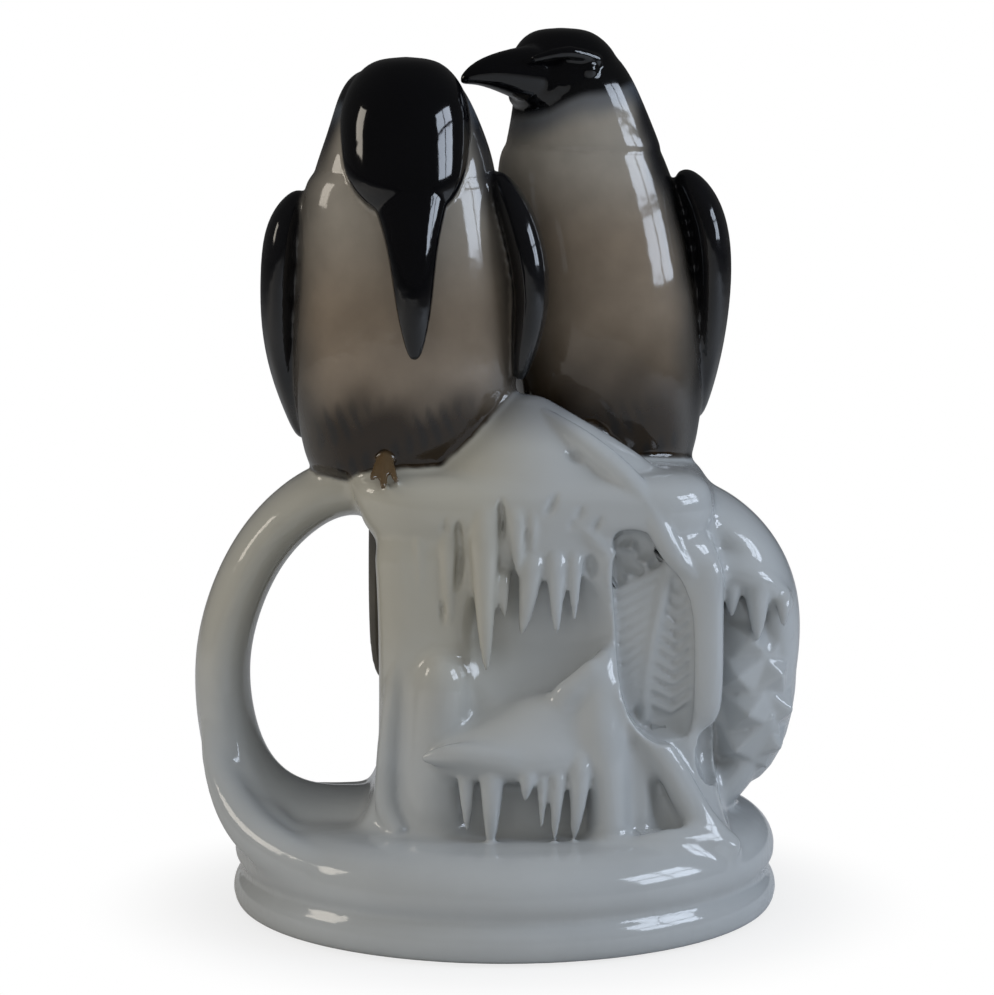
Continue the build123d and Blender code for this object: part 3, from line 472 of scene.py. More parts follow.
@dataclass
class Grotto:
    """The thick hoop on the right, its hewn wall and its icicles."""

    middle_y: float = -1.0
    hoop: Sequence[Row] = (
        (34.0, 91.4, 18.0, 7.6), (43.0, 91.4, 19.0, 7.4), (50.8, 87.0, 19.6, 7.2), (57.2, 80.0, 19.4, 7.0),
        (61.0, 71.0, 18.4, 6.8), (61.6, 59.0, 14.6, 6.2), (60.0, 47.0, 13.4, 5.8), (55.4, 36.6, 13.4, 5.8),
        (50.2, 29.0, 14.0, 6.0), (43.0, 24.0, 15.4, 6.8),
    )
    wall: Row = (54.2, -1.0, 55.4)
    wall_halves: Row = (12.8, 17.4, 28.0)
    facet: float = 8.2
    facet_height: float = 6.0
    facet_turn: float = 45.0
    facet_wander: float = 9.0
    facet_wander_pitch: float = 3.1
    rim_share: float = 0.3
    largest_share: float = 1.3
    rim_growth_share: float = 1.75
    columns: int = 4
    rows: int = 6
    corner_x: float = 46.4
    corner_z: float = 31.0
    skew: float = 2.1
    lip: Sequence[Row] = (
        (45.0, -18.5, 80.0, 3.8), (52.0, -20.0, 79.6, 3.8), (58.6, -19.4, 76.4, 3.4), (63.6, -15.0, 71.0, 2.6)
    )
    fringe: Sequence[Row] = ((50.6, 81.0, 69.2, 2.6), (56.4, 79.5, 63.8, 3.0), (62.2, 75.0, 67.0, 1.8))
    fringe_y: float = -20.6
    scratch: Sequence[Row] = ((46.0, -19.6, 92.6, 1.0), (51.0, -20.6, 89.8, 1.4), (55.6, -20.0, 84.6, 1.0))

    def shape(self, bench: Workbench) -> None:
        """Sweeps the hoop, fills it with hewn ice and hangs its icicles."""
        rows = [(x, self.middle_y, z, deep, thick) for x, z, deep, thick in self.hoop]
        bench.swept("grotto_arch", Turn.Y, rows)
        bench.rod("grotto_arch", self.lip)
        bench.gouge(bench.rod("grotto_arch", self.scratch))
        bench.blob("grotto_wall", self.wall, self.wall_halves)
        for row in range(self.rows):
            for column in range(self.columns):
                self._hew(bench, row, column)
        for x, top, tip, radius in self.fringe:
            bench.level("grotto_icicles", icicle(x, self.fringe_y, top, tip, radius), segments=ICICLE_SEGMENTS)

    def _hew(self, bench: Workbench, row: int, column: int) -> None:
        """Sets one low pyramid on the wall, square to it."""
        x = self.corner_x + column * self.facet - self.skew * (row % 2)
        z = self.corner_z + row * self.facet
        across = (x - self.wall[0]) / self.wall_halves[0]
        rise = (z - self.wall[2]) / self.wall_halves[2]
        inside = 1.0 - across * across - rise * rise
        if inside < self.rim_share:
            return
        y = self.wall[1] - self.wall_halves[1] * math.sqrt(inside)
        normal = Vector(
            (across / self.wall_halves[0], (y - self.wall[1]) / self.wall_halves[1] ** 2, rise / self.wall_halves[2])
        )
        wander = self.facet_wander * math.sin(self.facet_wander_pitch * row + column)
        twist = Quaternion((0, 0, 1), math.radians(self.facet_turn + wander))
        turn = normal.to_track_quat("Z", "Y") @ twist
        angles = [math.degrees(angle) for angle in turn.to_euler()]
        size = self.facet * min(self.largest_share, self.rim_growth_share * math.sqrt(inside))
        bench.spike("grotto_wall", (x, y, z), size, self.facet_height, angles)


def icicle(x: float, y: float, top: float, tip: float, radius: float, lean: float = 0.0) -> list[Row]:
    """Rows of an icicle that grows out of the ice behind its top and leans sideways by lean at its tip."""
    shape = (
        (0.0, 1.2, 4.2), (0.12, 1.15, 2.6), (0.26, 1.05, 1.0), (0.42, 0.9, 0.2), (0.66, 0.68, 0.0),
        (0.86, 0.44, 0.0), (1.0, 0.16, 0.0),
    )
    return [
        (x + lean * fall * fall, y + back, top + (tip - top) * fall, radius * wide, radius * wide)
        for fall, wide, back in reversed(shape)
    ]


@dataclass
class Frost:
    """The smooth post before the grotto, and the barbed leaf in the bay that is sunk beside it."""

    post: Sequence[Row] = (
        (43.6, -25.0, 45.0, 1.6, 4.0), (44.4, -25.4, 47.5, 3.2, 5.4), (44.8, -25.6, 52.0, 3.7, 6.0),
        (44.8, -25.6, 66.0, 3.7, 6.0), (44.6, -25.4, 78.0, 3.9, 6.2), (43.0, -24.4, 86.0, 5.0, 6.8),
    )
    bay: Sequence[Row] = (
        (37.0, -34.0, 43.0, 3.6, 6.6), (35.0, -34.0, 47.0, 6.6, 6.8), (33.6, -34.0, 53.0, 8.4, 7.0),
        (33.2, -34.0, 66.0, 8.8, 7.0), (32.6, -34.0, 75.0, 8.8, 7.2), (30.6, -34.0, 81.0, 7.2, 7.6),
        (28.8, -34.0, 86.0, 5.2, 8.0), (27.4, -34.0, 91.0, 3.6, 7.4),
    )
    leaf: Row = (33.2, -24.6, 62.0)
    leaf_halves: Row = (11.0, 3.6, 22.0)
    front_y: float = -28.0
    rib: Sequence[Row] = (
        (37.4, -27.0, 88.0, 1.5), (36.4, -27.4, 82.0, 1.7), (34.2, -27.8, 73.0, 1.8),
        (32.2, -27.9, 63.0, 1.7), (30.8, -27.7, 54.0, 1.5), (31.2, -27.4, 47.0, 1.2),
    )
    barb_radius: float = 1.0
    right_radius_share: float = 0.95
    barb_sink: float = 0.15
    barb_front_y: float = -27.4
    left_x: float = 24.8
    right_x: float = 41.8
    left_count: int = 12
    left_z: float = 47.5
    left_pitch: float = 2.6
    left_rise: float = 5.4
    right_count: int = 10
    right_z: float = 49.6
    right_pitch: float = 3.1
    rib_rise: float = 3.0
    right_rise: float = 3.6
    spine_z: float = 49.0
    left_rib_x: float = 30.4
    right_rib_x: float = 30.6
    rib_lean: float = 0.19
    spine_x: float = 36.8
    spine_lean: float = 0.06
    shard_set_in: float = 1.0
    shards: Sequence[Row] = (
        # x, z, radius, height, turn
        (27.8, 86.0, 4.4, 4.0, 20.0), (31.0, 82.4, 4.4, 4.4, 50.0), (27.4, 79.6, 4.0, 4.0, 75.0),
    )
    pocket: Row = (45.6, -24.0, 39.4)
    pocket_halves: Row = (4.2, 9.0, 7.6)
    post_corner_share: float = 0.5
    bay_corner_share: float = 0.3

    def shape(self, bench: Workbench) -> None:
        """Stands the post, sinks the bay and its leaf, and lays the rib, the barbs and the shards."""
        bench.level("frost_pillar", self.post, levels=1, corner=self.post_corner_share)
        bench.blob("frost_fern", self.leaf, self.leaf_halves)
        bench.gouge(bench.level("frost_fern", self.bay, levels=1, corner=self.bay_corner_share))
        bench.rod("frost_fern", self.rib)
        for index in range(self.left_count):
            z = self.left_z + index * self.left_pitch
            rib_x = self.left_rib_x + (z - self.spine_z) * self.rib_lean
            self._barb(bench, (self.left_x, z), (rib_x, z + self.left_rise), self.barb_radius)
        radius = self.barb_radius * self.right_radius_share
        for index in range(self.right_count):
            z = self.right_z + index * self.right_pitch
            rib_x = self.right_rib_x + (z - self.spine_z) * self.rib_lean
            spine_x = self.spine_x + (z - self.spine_z) * self.spine_lean
            if rib_x < spine_x - 1:
                self._barb(bench, (rib_x, z + self.rib_rise), (spine_x, z), radius)
            self._barb(bench, (spine_x, z), (self.right_x, z + self.right_rise), radius)
        shard_y = self.front_y + self.shard_set_in
        for x, z, radius, height, turn in self.shards:
            bench.spike("frost_fern", (x, shard_y, z), radius, height, (90, turn, 0), corners=3)
        bench.gouge(bench.blob("frost_pillar", self.pocket, self.pocket_halves))

    def _barb(self, bench: Workbench, start: Row, end: Row, radius: float) -> None:
        """Lays one barb of the leaf between two places on its face."""
        middle = ((start[0] + end[0]) / 2, (start[1] + end[1]) / 2)
        points = []
        for x, z in (start, middle, end):
            across = (x - self.leaf[0]) / self.leaf_halves[0]
            rise = (z - self.leaf[2]) / self.leaf_halves[2]
            bulge = self.leaf_halves[1] * math.sqrt(max(0.0, 1.0 - across * across - rise * rise))
            points.append((x, min(self.leaf[1] - bulge, self.barb_front_y) - self.barb_sink, z, radius))
        bench.rod("frost_fern", points)


@dataclass
class Snow:
    """The drift in front with its peak and leaning buttress, and the mound on the left column."""

    shelf: Sequence[Row] = (
        (4.0, -30.0, 34.5, 17.0, 8.6), (2.8, -31.0, 36.8, 20.6, 11.6), (2.6, -31.6, 40.4, 21.8, 12.2),
        (4.4, -31.0, 43.6, 20.4, 10.6), (7.2, -30.4, 46.6, 17.0, 8.6), (10.8, -30.0, 50.4, 12.6, 7.0),
        (14.0, -30.0, 54.6, 8.4, 6.0),
    )
    tip: Sequence[Row] = (
        (-18.6, -38.4, 40.8, 1.4), (-13.6, -40.0, 42.0, 2.6), (-7.0, -40.6, 42.0, 3.2), (2.0, -40.6, 41.0, 3.0)
    )
    peak: Sequence[Row] = (
        (23.4, -33.0, 18.0, 6.6, 10.6), (23.2, -33.0, 24.0, 5.0, 9.0), (22.8, -33.0, 34.0, 5.2, 8.8),
        (21.6, -33.0, 43.0, 6.6, 8.8), (20.8, -32.6, 50.0, 5.8, 7.4), (21.2, -32.2, 56.0, 4.4, 5.8),
        (21.9, -32.0, 61.0, 3.2, 4.2), (22.4, -32.0, 64.6, 1.7, 2.4),
    )
    spur: Sequence[Row] = ((12.0, -34.4, 53.0, 3.4), (16.6, -34.6, 56.6, 3.4), (20.6, -34.4, 60.6, 3.0))
    slab: Sequence[Row] = (
        (30.4, -31.0, 18.0, 4.4, 7.4), (30.2, -31.0, 24.0, 3.2, 6.0), (30.0, -31.0, 34.0, 3.0, 5.4),
        (29.4, -31.4, 42.0, 3.0, 5.0), (28.6, -31.6, 48.0, 2.4, 4.0),
    )
    beam: Sequence[Row] = (
        (24.6, -35.0, 56.0, 2.8), (28.0, -35.4, 50.0, 3.2), (32.6, -35.2, 44.6, 3.4), (37.2, -34.6, 37.0, 3.6),
        (41.2, -33.8, 29.0, 3.8), (45.2, -33.0, 22.0, 4.4), (50.0, -32.0, 17.5, 4.8),
    )
    back: Sequence[Row] = ((8.0, -29.5, 18.0, 24.0, 7.0), (8.0, -29.0, 26.0, 22.0, 4.4), (8.0, -28.0, 40.0, 20.0, 3.6))
    sill: Sequence[Row] = (
        (26.0, -41.0, 20.0, 3.2), (33.0, -40.6, 22.6, 3.0), (40.0, -38.6, 22.8, 3.0), (47.0, -35.0, 21.0, 3.4)
    )
    mound: Sequence[Row] = (
        (-15.0, -28.0, 18.0, 11.0, 10.0), (-14.6, -28.4, 26.0, 8.0, 7.4), (-14.4, -29.0, 38.0, 7.0, 6.6),
        (-14.2, -29.6, 48.0, 6.4, 6.2), (-14.0, -30.2, 55.0, 6.3, 6.4), (-14.0, -30.4, 59.6, 5.2, 5.4),
        (-14.2, -30.4, 62.8, 2.6, 3.0),
    )

    def shape(self, bench: Workbench) -> None:
        """Heaps the snow."""
        for rows in (self.shelf, self.peak, self.slab, self.back):
            bench.level("snow_drift", rows)
        for rows in (self.tip, self.spur, self.beam, self.sill):
            bench.rod("snow_drift", rows)
        bench.level("snow_mound", self.mound)


@dataclass
class Icicles:
    """The three fringes on the front of the rock, and the slots worked in between them."""

    cap: Sequence[Row] = (
        # x, y, top, tip, radius, lean
        (-12.6, -30.6, 97.0, 69.0, 2.2, 0.4), (-4.6, -32.0, 100.0, 58.6, 3.3, 0.6), (2.4, -32.2, 99.0, 80.0, 2.3, 0.6),
        (6.2, -32.2, 98.6, 85.4, 1.5, -0.2),
    )
    niche: Sequence[Row] = (
        (-0.6, -31.0, 83.0, 70.6, 1.9, 0.6), (6.0, -31.6, 88.0, 66.8, 2.9, -2.4), (11.2, -31.8, 89.0, 66.8, 2.3, 0.2),
        (15.4, -31.6, 89.0, 69.8, 1.8, -0.2), (22.6, -30.8, 89.0, 76.8, 1.5, 0.3),
    )
    drift: Sequence[Row] = (
        (-8.4, -40.0, 40.0, 24.6, 1.9, 0.2), (-2.8, -41.6, 41.0, 20.8, 2.6, -0.4), (5.0, -42.0, 41.0, 31.8, 2.0, -0.6),
        (8.2, -41.8, 41.0, 25.4, 1.3, -0.2), (11.6, -41.6, 42.0, 22.6, 1.8, -0.9), (16.6, -40.8, 44.0, 22.8, 2.5, -1.6),
    )
    slots: Sequence[Row] = (
        # x, y, z, half width, half depth, half height, lean about Y in degrees
        (-10.2, -33.0, 84.0, 1.5, 4.2, 9.0, 0.0), (-0.9, -33.4, 92.0, 1.2, 3.6, 6.5, 0.0),
        (4.6, -33.2, 91.0, 0.9, 3.0, 5.0, 0.0), (-1.8, -32.6, 77.0, 1.2, 4.0, 6.0, 0.0),
        (2.2, -33.0, 79.0, 1.1, 3.6, 5.6, -6.0), (8.8, -33.0, 78.5, 1.2, 3.8, 7.0, 6.0),
        (13.4, -33.0, 79.0, 0.9, 3.4, 5.0, 0.0), (18.8, -32.4, 82.0, 2.0, 3.4, 3.6, 0.0),
        (10.6, -33.8, 97.0, 1.4, 2.4, 5.0, 24.0), (15.6, -33.6, 93.0, 1.2, 2.2, 4.4, 30.0),
        (-13.6, -34.0, 78.0, 1.5, 4.6, 17.0, 1.0), (19.6, -33.4, 91.0, 1.0, 2.2, 3.6, 34.0),
    )

    def shape(self, bench: Workbench) -> None:
        """Works the slots and hangs each fringe."""
        for x, y, z, wide, deep, tall, lean in self.slots:
            bench.gouge(bench.blob("cap_icicles", (x, y, z), (wide, deep, tall), (0, lean, 0)))
        fringes = (("cap_icicles", self.cap), ("niche_icicles", self.niche), ("drift_icicles", self.drift))
        for casting, rows in fringes:
            for row in rows:
                bench.level(casting, icicle(*row), segments=ICICLE_SEGMENTS)


@dataclass
class Penguin:
    """One bird: body and neck, head, bill, two flippers, a tail and perhaps a foot."""

    name: str
    torso: Sequence[Row]
    neck: Sequence[Row]
    hood: Sequence[Row]
    bill: Sequence[Row]
    bill_turn: Turn
    outer_wing: Sequence[Row]
    inner_wing: Sequence[Row]
    tail: Sequence[Row]
    toes: Sequence[Sequence[Row]] = ()
    eye: Row | None = None
    eye_halves: Row = (1.9, 1.7, 1.9)
    brow: Sequence[Row] = ()
    mouth: Sequence[Row] = ()

    def shape(self, bench: Workbench) -> None:
        """Builds the bird from its castings."""
        head, bill = f"{self.name}_head", f"{self.name}_bill"
        bench.level(f"{self.name}_body", self.torso, Paint.PLUMAGE, segments=BIRD_SEGMENTS)
        bench.level(head, self.neck, Paint.PLUMAGE, segments=BIRD_SEGMENTS)
        skull = bench.level(head, self.hood, Paint.BLACK, segments=BIRD_SEGMENTS)
        beak = bench.swept(bill, self.bill_turn, self.bill, Paint.BLACK)
        if self.mouth:
            for form in (skull, beak):
                bench.carve(form, bench.rod(bill, self.mouth, Paint.BLACK))
        bench.swept(f"{self.name}_outer_wing", Turn.Y, self.outer_wing, Paint.WING)
        bench.swept(f"{self.name}_inner_wing", Turn.Y, self.inner_wing, Paint.WING)
        bench.swept(f"{self.name}_tail", Turn.X, self.tail, Paint.WING)
        for toe in self.toes:
            bench.rod(f"{self.name}_foot", toe, Paint.TOE)
        if self.eye:
            bench.blob(head, self.eye, self.eye_halves, paint=Paint.BLACK)
            bench.rod(head, self.brow, Paint.BLACK)


LEFT_PENGUIN = Penguin(
    name="left_penguin",
    torso=(
        (-24.5, -8.5, 99.0, 19.0, 13.6), (-24.0, -8.6, 104.0, 21.0, 15.4), (-23.2, -8.8, 110.0, 23.2, 17.2),
        (-22.4, -9.0, 118.0, 25.0, 18.6), (-22.0, -9.0, 128.0, 25.6, 19.2), (-22.0, -9.2, 138.0, 25.2, 19.0),
        (-22.2, -9.4, 148.0, 24.2, 18.4), (-23.0, -9.8, 157.0, 23.4, 17.4), (-23.0, -10.0, 165.0, 21.8, 15.8),
        (-22.2, -10.0, 171.0, 19.8, 14.6),
    ),
    neck=(
        (-22.8, -10.0, 160.0, 21.6, 15.8), (-22.4, -9.6, 166.0, 20.8, 15.4), (-22.0, -9.4, 172.0, 19.2, 15.2),
        (-22.0, -10.0, 178.0, 17.0, 14.6), (-22.4, -10.6, 183.5, 15.0, 13.4), (-22.8, -11.4, 188.0, 12.6, 10.6),
        (-22.6, -12.0, 191.5, 8.4, 7.0),
    ),
    hood=(
        (-20.8, -29.0, 158.5, 6.6, 5.6), (-21.4, -27.0, 163.0, 11.2, 8.8), (-21.8, -24.0, 168.0, 13.6, 11.6),
        (-21.8, -21.0, 174.0, 14.2, 13.4), (-21.8, -19.0, 180.0, 14.6, 14.4), (-21.8, -17.6, 185.5, 13.4, 13.6),
        (-21.8, -16.6, 190.0, 10.6, 11.0), (-21.8, -16.0, 193.4, 6.0, 6.4),
    ),
    bill=(
        (-21.0, -25.0, 170.0, 10.0, 8.0), (-20.6, -29.4, 163.0, 8.8, 6.6), (-20.2, -32.4, 156.0, 6.4, 5.4),
        (-19.9, -34.4, 148.0, 5.0, 4.6), (-19.7, -35.4, 139.0, 4.0, 3.8), (-19.6, -35.6, 132.0, 2.5, 2.6),
        (-19.6, -35.2, 127.7, 1.1, 1.1),
    ),
    bill_turn=Turn.X,
    outer_wing=(
        (-44.6, -8.0, 163.6, 3.0, 1.8), (-47.4, -8.0, 159.8, 6.8, 3.6), (-49.6, -7.4, 154.0, 9.6, 4.6),
        (-50.4, -6.2, 144.0, 10.6, 4.6), (-50.6, -4.8, 133.0, 10.2, 4.4), (-49.4, -3.2, 123.0, 8.6, 3.8),
        (-47.0, -2.0, 114.0, 6.0, 3.0), (-45.0, -1.4, 107.0, 3.2, 2.0),
    ),
    inner_wing=(
        (-3.0, -13.0, 168.0, 3.0, 2.2), (0.6, -15.0, 163.0, 5.4, 3.6), (3.6, -16.4, 156.0, 7.0, 4.2),
        (5.6, -17.0, 148.0, 7.4, 4.3), (6.2, -17.0, 140.0, 7.0, 4.0), (5.2, -16.6, 132.0, 5.6, 3.4),
        (3.8, -16.2, 126.0, 3.6, 2.4), (3.2, -16.0, 121.6, 1.4, 1.2),
    ),
    tail=(
        (-22.7, 6.0, 116.0, 6.8, 4.6), (-22.8, 13.0, 111.0, 8.0, 4.8), (-22.9, 20.0, 105.0, 8.6, 4.6),
        (-23.2, 25.6, 97.0, 8.8, 4.2), (-23.4, 27.8, 86.0, 8.8, 4.0), (-23.8, 28.0, 70.0, 8.6, 3.6),
        (-24.0, 27.4, 52.0, 8.2, 3.0), (-24.0, 27.0, 44.5, 5.6, 1.6),
    ),
    toes=(
        ((-27.4, -23.0, 106.0, 0.7), (-28.2, -26.6, 104.0, 0.9), (-29.2, -30.6, 101.4, 0.7)),
        ((-26.6, -23.0, 107.4, 0.7), (-26.6, -27.2, 104.6, 1.0), (-26.6, -31.6, 99.6, 0.8)),
        ((-25.8, -23.0, 106.4, 0.7), (-25.0, -26.6, 104.2, 0.9), (-23.8, -30.8, 101.0, 0.7)),
    ),
)

RIGHT_PENGUIN = Penguin(
    name="right_penguin",
    torso=(
        (26.0, 9.5, 98.0, 16.0, 13.0), (25.6, 9.4, 104.0, 18.4, 15.6), (24.6, 9.2, 112.0, 20.8, 17.6),
        (23.6, 9.0, 122.0, 22.4, 18.8), (22.8, 9.0, 133.0, 22.6, 19.0), (22.2, 9.0, 144.0, 21.8, 18.6),
        (20.8, 9.0, 154.0, 21.2, 17.6), (18.6, 9.0, 163.0, 20.8, 16.4), (17.4, 8.8, 171.0, 19.0, 14.8),
        (17.0, 8.4, 177.0, 16.4, 13.0),
    ),
    neck=(
        (18.2, 8.8, 168.0, 19.4, 15.0), (17.7, 8.2, 175.0, 17.2, 13.8), (17.0, 7.6, 181.0, 15.4, 12.8),
        (16.0, 7.2, 187.0, 13.8, 12.0), (14.9, 7.4, 192.0, 12.0, 10.6), (13.6, 8.0, 196.0, 9.2, 8.4),
    ),
    hood=(
        (10.0, 4.0, 181.0, 8.6, 7.2), (12.6, 5.6, 185.0, 12.2, 10.6), (14.0, 6.8, 189.5, 12.8, 11.8),
        (13.4, 7.6, 194.0, 12.0, 11.0), (13.0, 8.0, 197.6, 9.2, 8.4), (12.8, 8.0, 199.9, 5.2, 4.8),
    ),
    bill=(
        (10.0, 2.4, 189.0, 7.4, 7.0), (4.0, -0.6, 189.4, 6.4, 5.6), (-1.0, -3.0, 190.0, 4.6, 4.4),
        (-5.0, -4.6, 190.0, 3.2, 3.0), (-8.0, -5.6, 189.3, 2.0, 1.9), (-10.0, -6.2, 188.0, 1.0, 1.0),
    ),
    bill_turn=Turn.Z,
    outer_wing=(
        (39.6, 8.0, 167.6, 3.2, 2.0), (43.2, 8.0, 163.6, 7.0, 3.8), (46.2, 8.4, 157.0, 9.8, 4.6),
        (47.6, 9.2, 148.0, 10.8, 4.6), (47.4, 10.4, 137.0, 10.4, 4.4), (46.4, 11.8, 126.0, 8.8, 3.8),
        (45.0, 13.0, 117.0, 6.0, 3.0), (43.6, 13.6, 110.0, 3.0, 2.0),
    ),
    inner_wing=(
        (5.0, 17.0, 160.0, 2.6, 2.0), (2.4, 18.0, 156.6, 5.4, 3.2), (0.4, 18.4, 151.0, 6.6, 3.8),
        (-1.2, 18.6, 144.0, 6.8, 3.6), (-0.6, 18.8, 135.0, 5.4, 3.0), (0.4, 19.0, 128.0, 3.0, 2.0),
    ),
    tail=(
        (22.6, 20.0, 110.0, 6.8, 5.0), (22.6, 25.0, 104.0, 8.2, 4.8), (22.6, 28.0, 94.0, 8.6, 4.4),
        (22.6, 28.4, 80.0, 8.2, 4.0), (22.6, 28.0, 64.0, 7.6, 3.6), (22.6, 27.4, 50.0, 5.4, 3.0),
        (22.6, 27.0, 44.5, 2.6, 1.6),
    ),
    eye=(18.9, -2.8, 190.4),
    brow=((6.0, -7.0, 192.6, 0.8), (11.0, -6.4, 194.2, 1.3), (16.6, -4.6, 194.4, 1.5), (21.4, -1.4, 192.4, 1.2)),
    mouth=(
        (-9.6, -8.0, 187.8, 0.5), (-4.0, -8.6, 188.8, 0.8), (1.0, -8.0, 189.8, 0.9), (5.7, -7.0, 189.8, 0.9),
        (12.5, -5.4, 185.9, 0.9), (15.8, -4.2, 182.5, 0.6),
    ),
)


@dataclass
class Plumage:
    """Airbrushed colours of one bird, worked out from the place of each point in millimetres."""

    axis: Row
    shoulder_z: float
    belly_z: float
    umber_z: float
    foot_z: float
    nape_z: float
    nape_turn: float
    crown_z: float
    crown_tilt: float = 0.0
    facing: float = 0.0
    flank: Row = (46.0, 80.0)
    back: Row = (72.0, 98.0)
    # size, then pitch along x, pitch along z and start, of the waves that loosen each border
    waves: Sequence[Row] = ((2.0, 0.31, 0.17, 0.0), (1.3, 0.53, -0.41, 1.7))
    umber_wave_share: float = 0.6
    mottle_strength: float = 0.7
    mottle_edge: float = 0.8
    mottle_height: float = 9.0
    slate_strength: float = 0.85
    nape_tilt: float = 0.3
    nape_span: Row = (-9.0, 7.0)
    nape_fade: float = 24.0
    hood_wave_share: float = 0.2
    cheek_strength: float = 0.75
    cheek_span: Row = (-7.5, -1.5)
    crown_fade: float = 1.0
    belly: Colour = linear(121, 109, 95)
    chest: Colour = linear(141, 135, 125)
    umber: Colour = linear(36, 25, 11)
    cheek: Colour = linear(70, 76, 84)
    slate: Colour = linear(70, 67, 63)
    collar: Colour = linear(34, 34, 36)
    jet: Colour = linear(11, 11, 12)

    def colours(self, places: np.ndarray) -> np.ndarray:
        """The colour of each place, from belly to back and from foot to nape."""
        x, y, z = places.T
        aside = x - self.axis[0] - self.axis[2] * (z - self.foot_z)
        turn = np.degrees(np.arctan2(aside, -(y - self.axis[1])))
        ripple = sum(size * np.sin(along_x * x + along_z * z + start) for size, along_x, along_z, start in self.waves)
        around = np.abs(turn - self.facing) + ripple
        colour = mix(self.belly, self.chest, ease(z, self.belly_z, self.shoulder_z))
        colour = mix(colour, self.umber, ease(-(z + self.umber_wave_share * ripple), -self.umber_z, -self.foot_z))
        mottle = np.sin(1.1 * x + 0.8 * np.sin(0.5 * z)) * np.sin(0.45 * z + 0.8 * x + 1.0)
        low = ease(-z, -self.foot_z - self.mottle_height, -self.foot_z)
        colour = mix(colour, self.jet, self.mottle_strength * ease(mottle, 0.0, self.mottle_edge) * low)
        colour = mix(colour, self.slate, self.slate_strength * ease(around, *self.flank))
        start, end = (self.nape_z + span for span in self.nape_span)
        nape = ease(z + self.nape_tilt * aside, start, end)
        colour = mix(colour, self.collar, nape * ease(around, self.nape_turn, self.nape_turn + self.nape_fade))
        colour = mix(colour, self.jet, ease(around, *self.back))
        hood = z - self.crown_tilt * aside + self.hood_wave_share * ripple - self.crown_z
        colour = mix(colour, self.cheek, self.cheek_strength * ease(hood, *self.cheek_span))
        return mix(colour, self.jet, ease(hood, self.cheek_span[1], self.crown_fade))


def mix(first: np.ndarray | Colour, second: np.ndarray | Colour, share: np.ndarray) -> np.ndarray:
    """Blends two colours, or a field of them and a colour, by a share for each point."""
    first = np.atleast_2d(np.asarray(first, dtype=float))
    second = np.atleast_2d(np.asarray(second, dtype=float))
    share = share[:, None]
    return first * (1 - share) + second * share


@dataclass
class Decorator:
    """Chooses the underglaze colour of every point from its brush and its place."""

    left: Plumage
    right: Plumage
    ice: Colour = linear(168, 171, 172)
    cream: Colour = linear(166, 163, 152)
    # painted shade and overspray: a dark grey laid on the ice near the snow peak under the birds, partly black
    # overspray and partly the shade that falls there
    shade_and_overspray: Colour = linear(84, 86, 90)
    jet: Colour = linear(7, 7, 9)
    wing: Colour = linear(15, 15, 17)
    wing_grey: Colour = linear(60, 59, 57)
    tail_grey: Colour = linear(78, 74, 66)
    toe: Colour = linear(86, 70, 50)
    parting: Row = (0.4, 0.3)
    parting_blur: float = 1.0
    wing_grey_strength: float = 0.35
    wing_grey_z: Row = (150.0, 112.0)
    tail_grey_z: Row = (98.0, 66.0)
    cream_z: Row = (34.0, 74.0)
    cream_left: Row = (-14.0, 10.0)
    cream_front: Row = (-10.0, 20.0)
    # strength, side-to-side middle, height span and half sizes of the painted shade and overspray near the peak
    shade_and_overspray_strength: float = 0.6
    shade_and_overspray_x: float = 6.0
    shade_and_overspray_z: Row = (107.0, 117.0)
    shade_and_overspray_halves: Row = (14.0, 6.0)

    def colours(self, places: np.ndarray, brushes: np.ndarray) -> np.ndarray:
        """The blend of all brushes at each place.

        Args:
            places: points in millimetres.
            brushes: how much of each Paint every point has, in rows that add up to 1.
        Returns:
            Linear colours, one row for each point.
        """
        x, y, z = places.T
        lean, middle = self.parting
        on_right = ease(x + lean * y, middle - self.parting_blur, middle + self.parting_blur)[:, None]
        plumage = self.left.colours(places) * (1 - on_right) + self.right.colours(places) * on_right
        streak = 0.5 + 0.5 * np.sin(1.9 * y + 0.25 * z + 2.0 * np.sin(0.11 * z))
        wing = mix(self.wing, self.wing_grey, self.wing_grey_strength * streak * fall(z, *self.wing_grey_z))
        wing = mix(wing, self.tail_grey, fall(z, *self.tail_grey_z))
        count = len(places)
        cream = ease(z, *self.cream_z) * ease(-x, *self.cream_left) * ease(-y, *self.cream_front)
        ice = mix(self.ice, self.cream, cream)
        # painted shade and overspray: the ice turns darker grey near the peak, under the birds
        near_peak = fall(np.abs(x - self.shade_and_overspray_x), *self.shade_and_overspray_halves)
        ice = mix(ice, self.shade_and_overspray, self.shade_and_overspray_strength * ease(z, *self.shade_and_overspray_z) * near_peak)
        layers = {
            Paint.ICE: ice,
            Paint.BLACK: np.tile(self.jet, (count, 1)),
            Paint.PLUMAGE: plumage,
            Paint.WING: wing,
            Paint.TOE: np.tile(self.toe, (count, 1)),
        }
        return sum(layers[paint] * brushes[:, paint.value, None] for paint in Paint)


@dataclass(frozen=True)
class Wiring:
    """Adds whole nodes to a node tree."""

    tree: bpy.types.NodeTree

    def add(self, kind: str, inputs: dict[str | int, Any], **settings: Any) -> bpy.types.Node:
        """Makes a shader node of this kind, with its settings and its inputs."""
        node = self.tree.nodes.new(f"ShaderNode{kind}")
        for name, value in settings.items():
            setattr(node, name, value)
        self.feed(node, inputs)
        return node

    def feed(self, node: bpy.types.Node, inputs: dict[str | int, Any]) -> None:
        """Links the inputs that get another node's output, and sets the others on the node itself."""
        for name, value in inputs.items():
            if isinstance(value, bpy.types.NodeSocket):
                self.tree.links.new(value, node.inputs[name])
            else:
                node.inputs[name].default_value = value


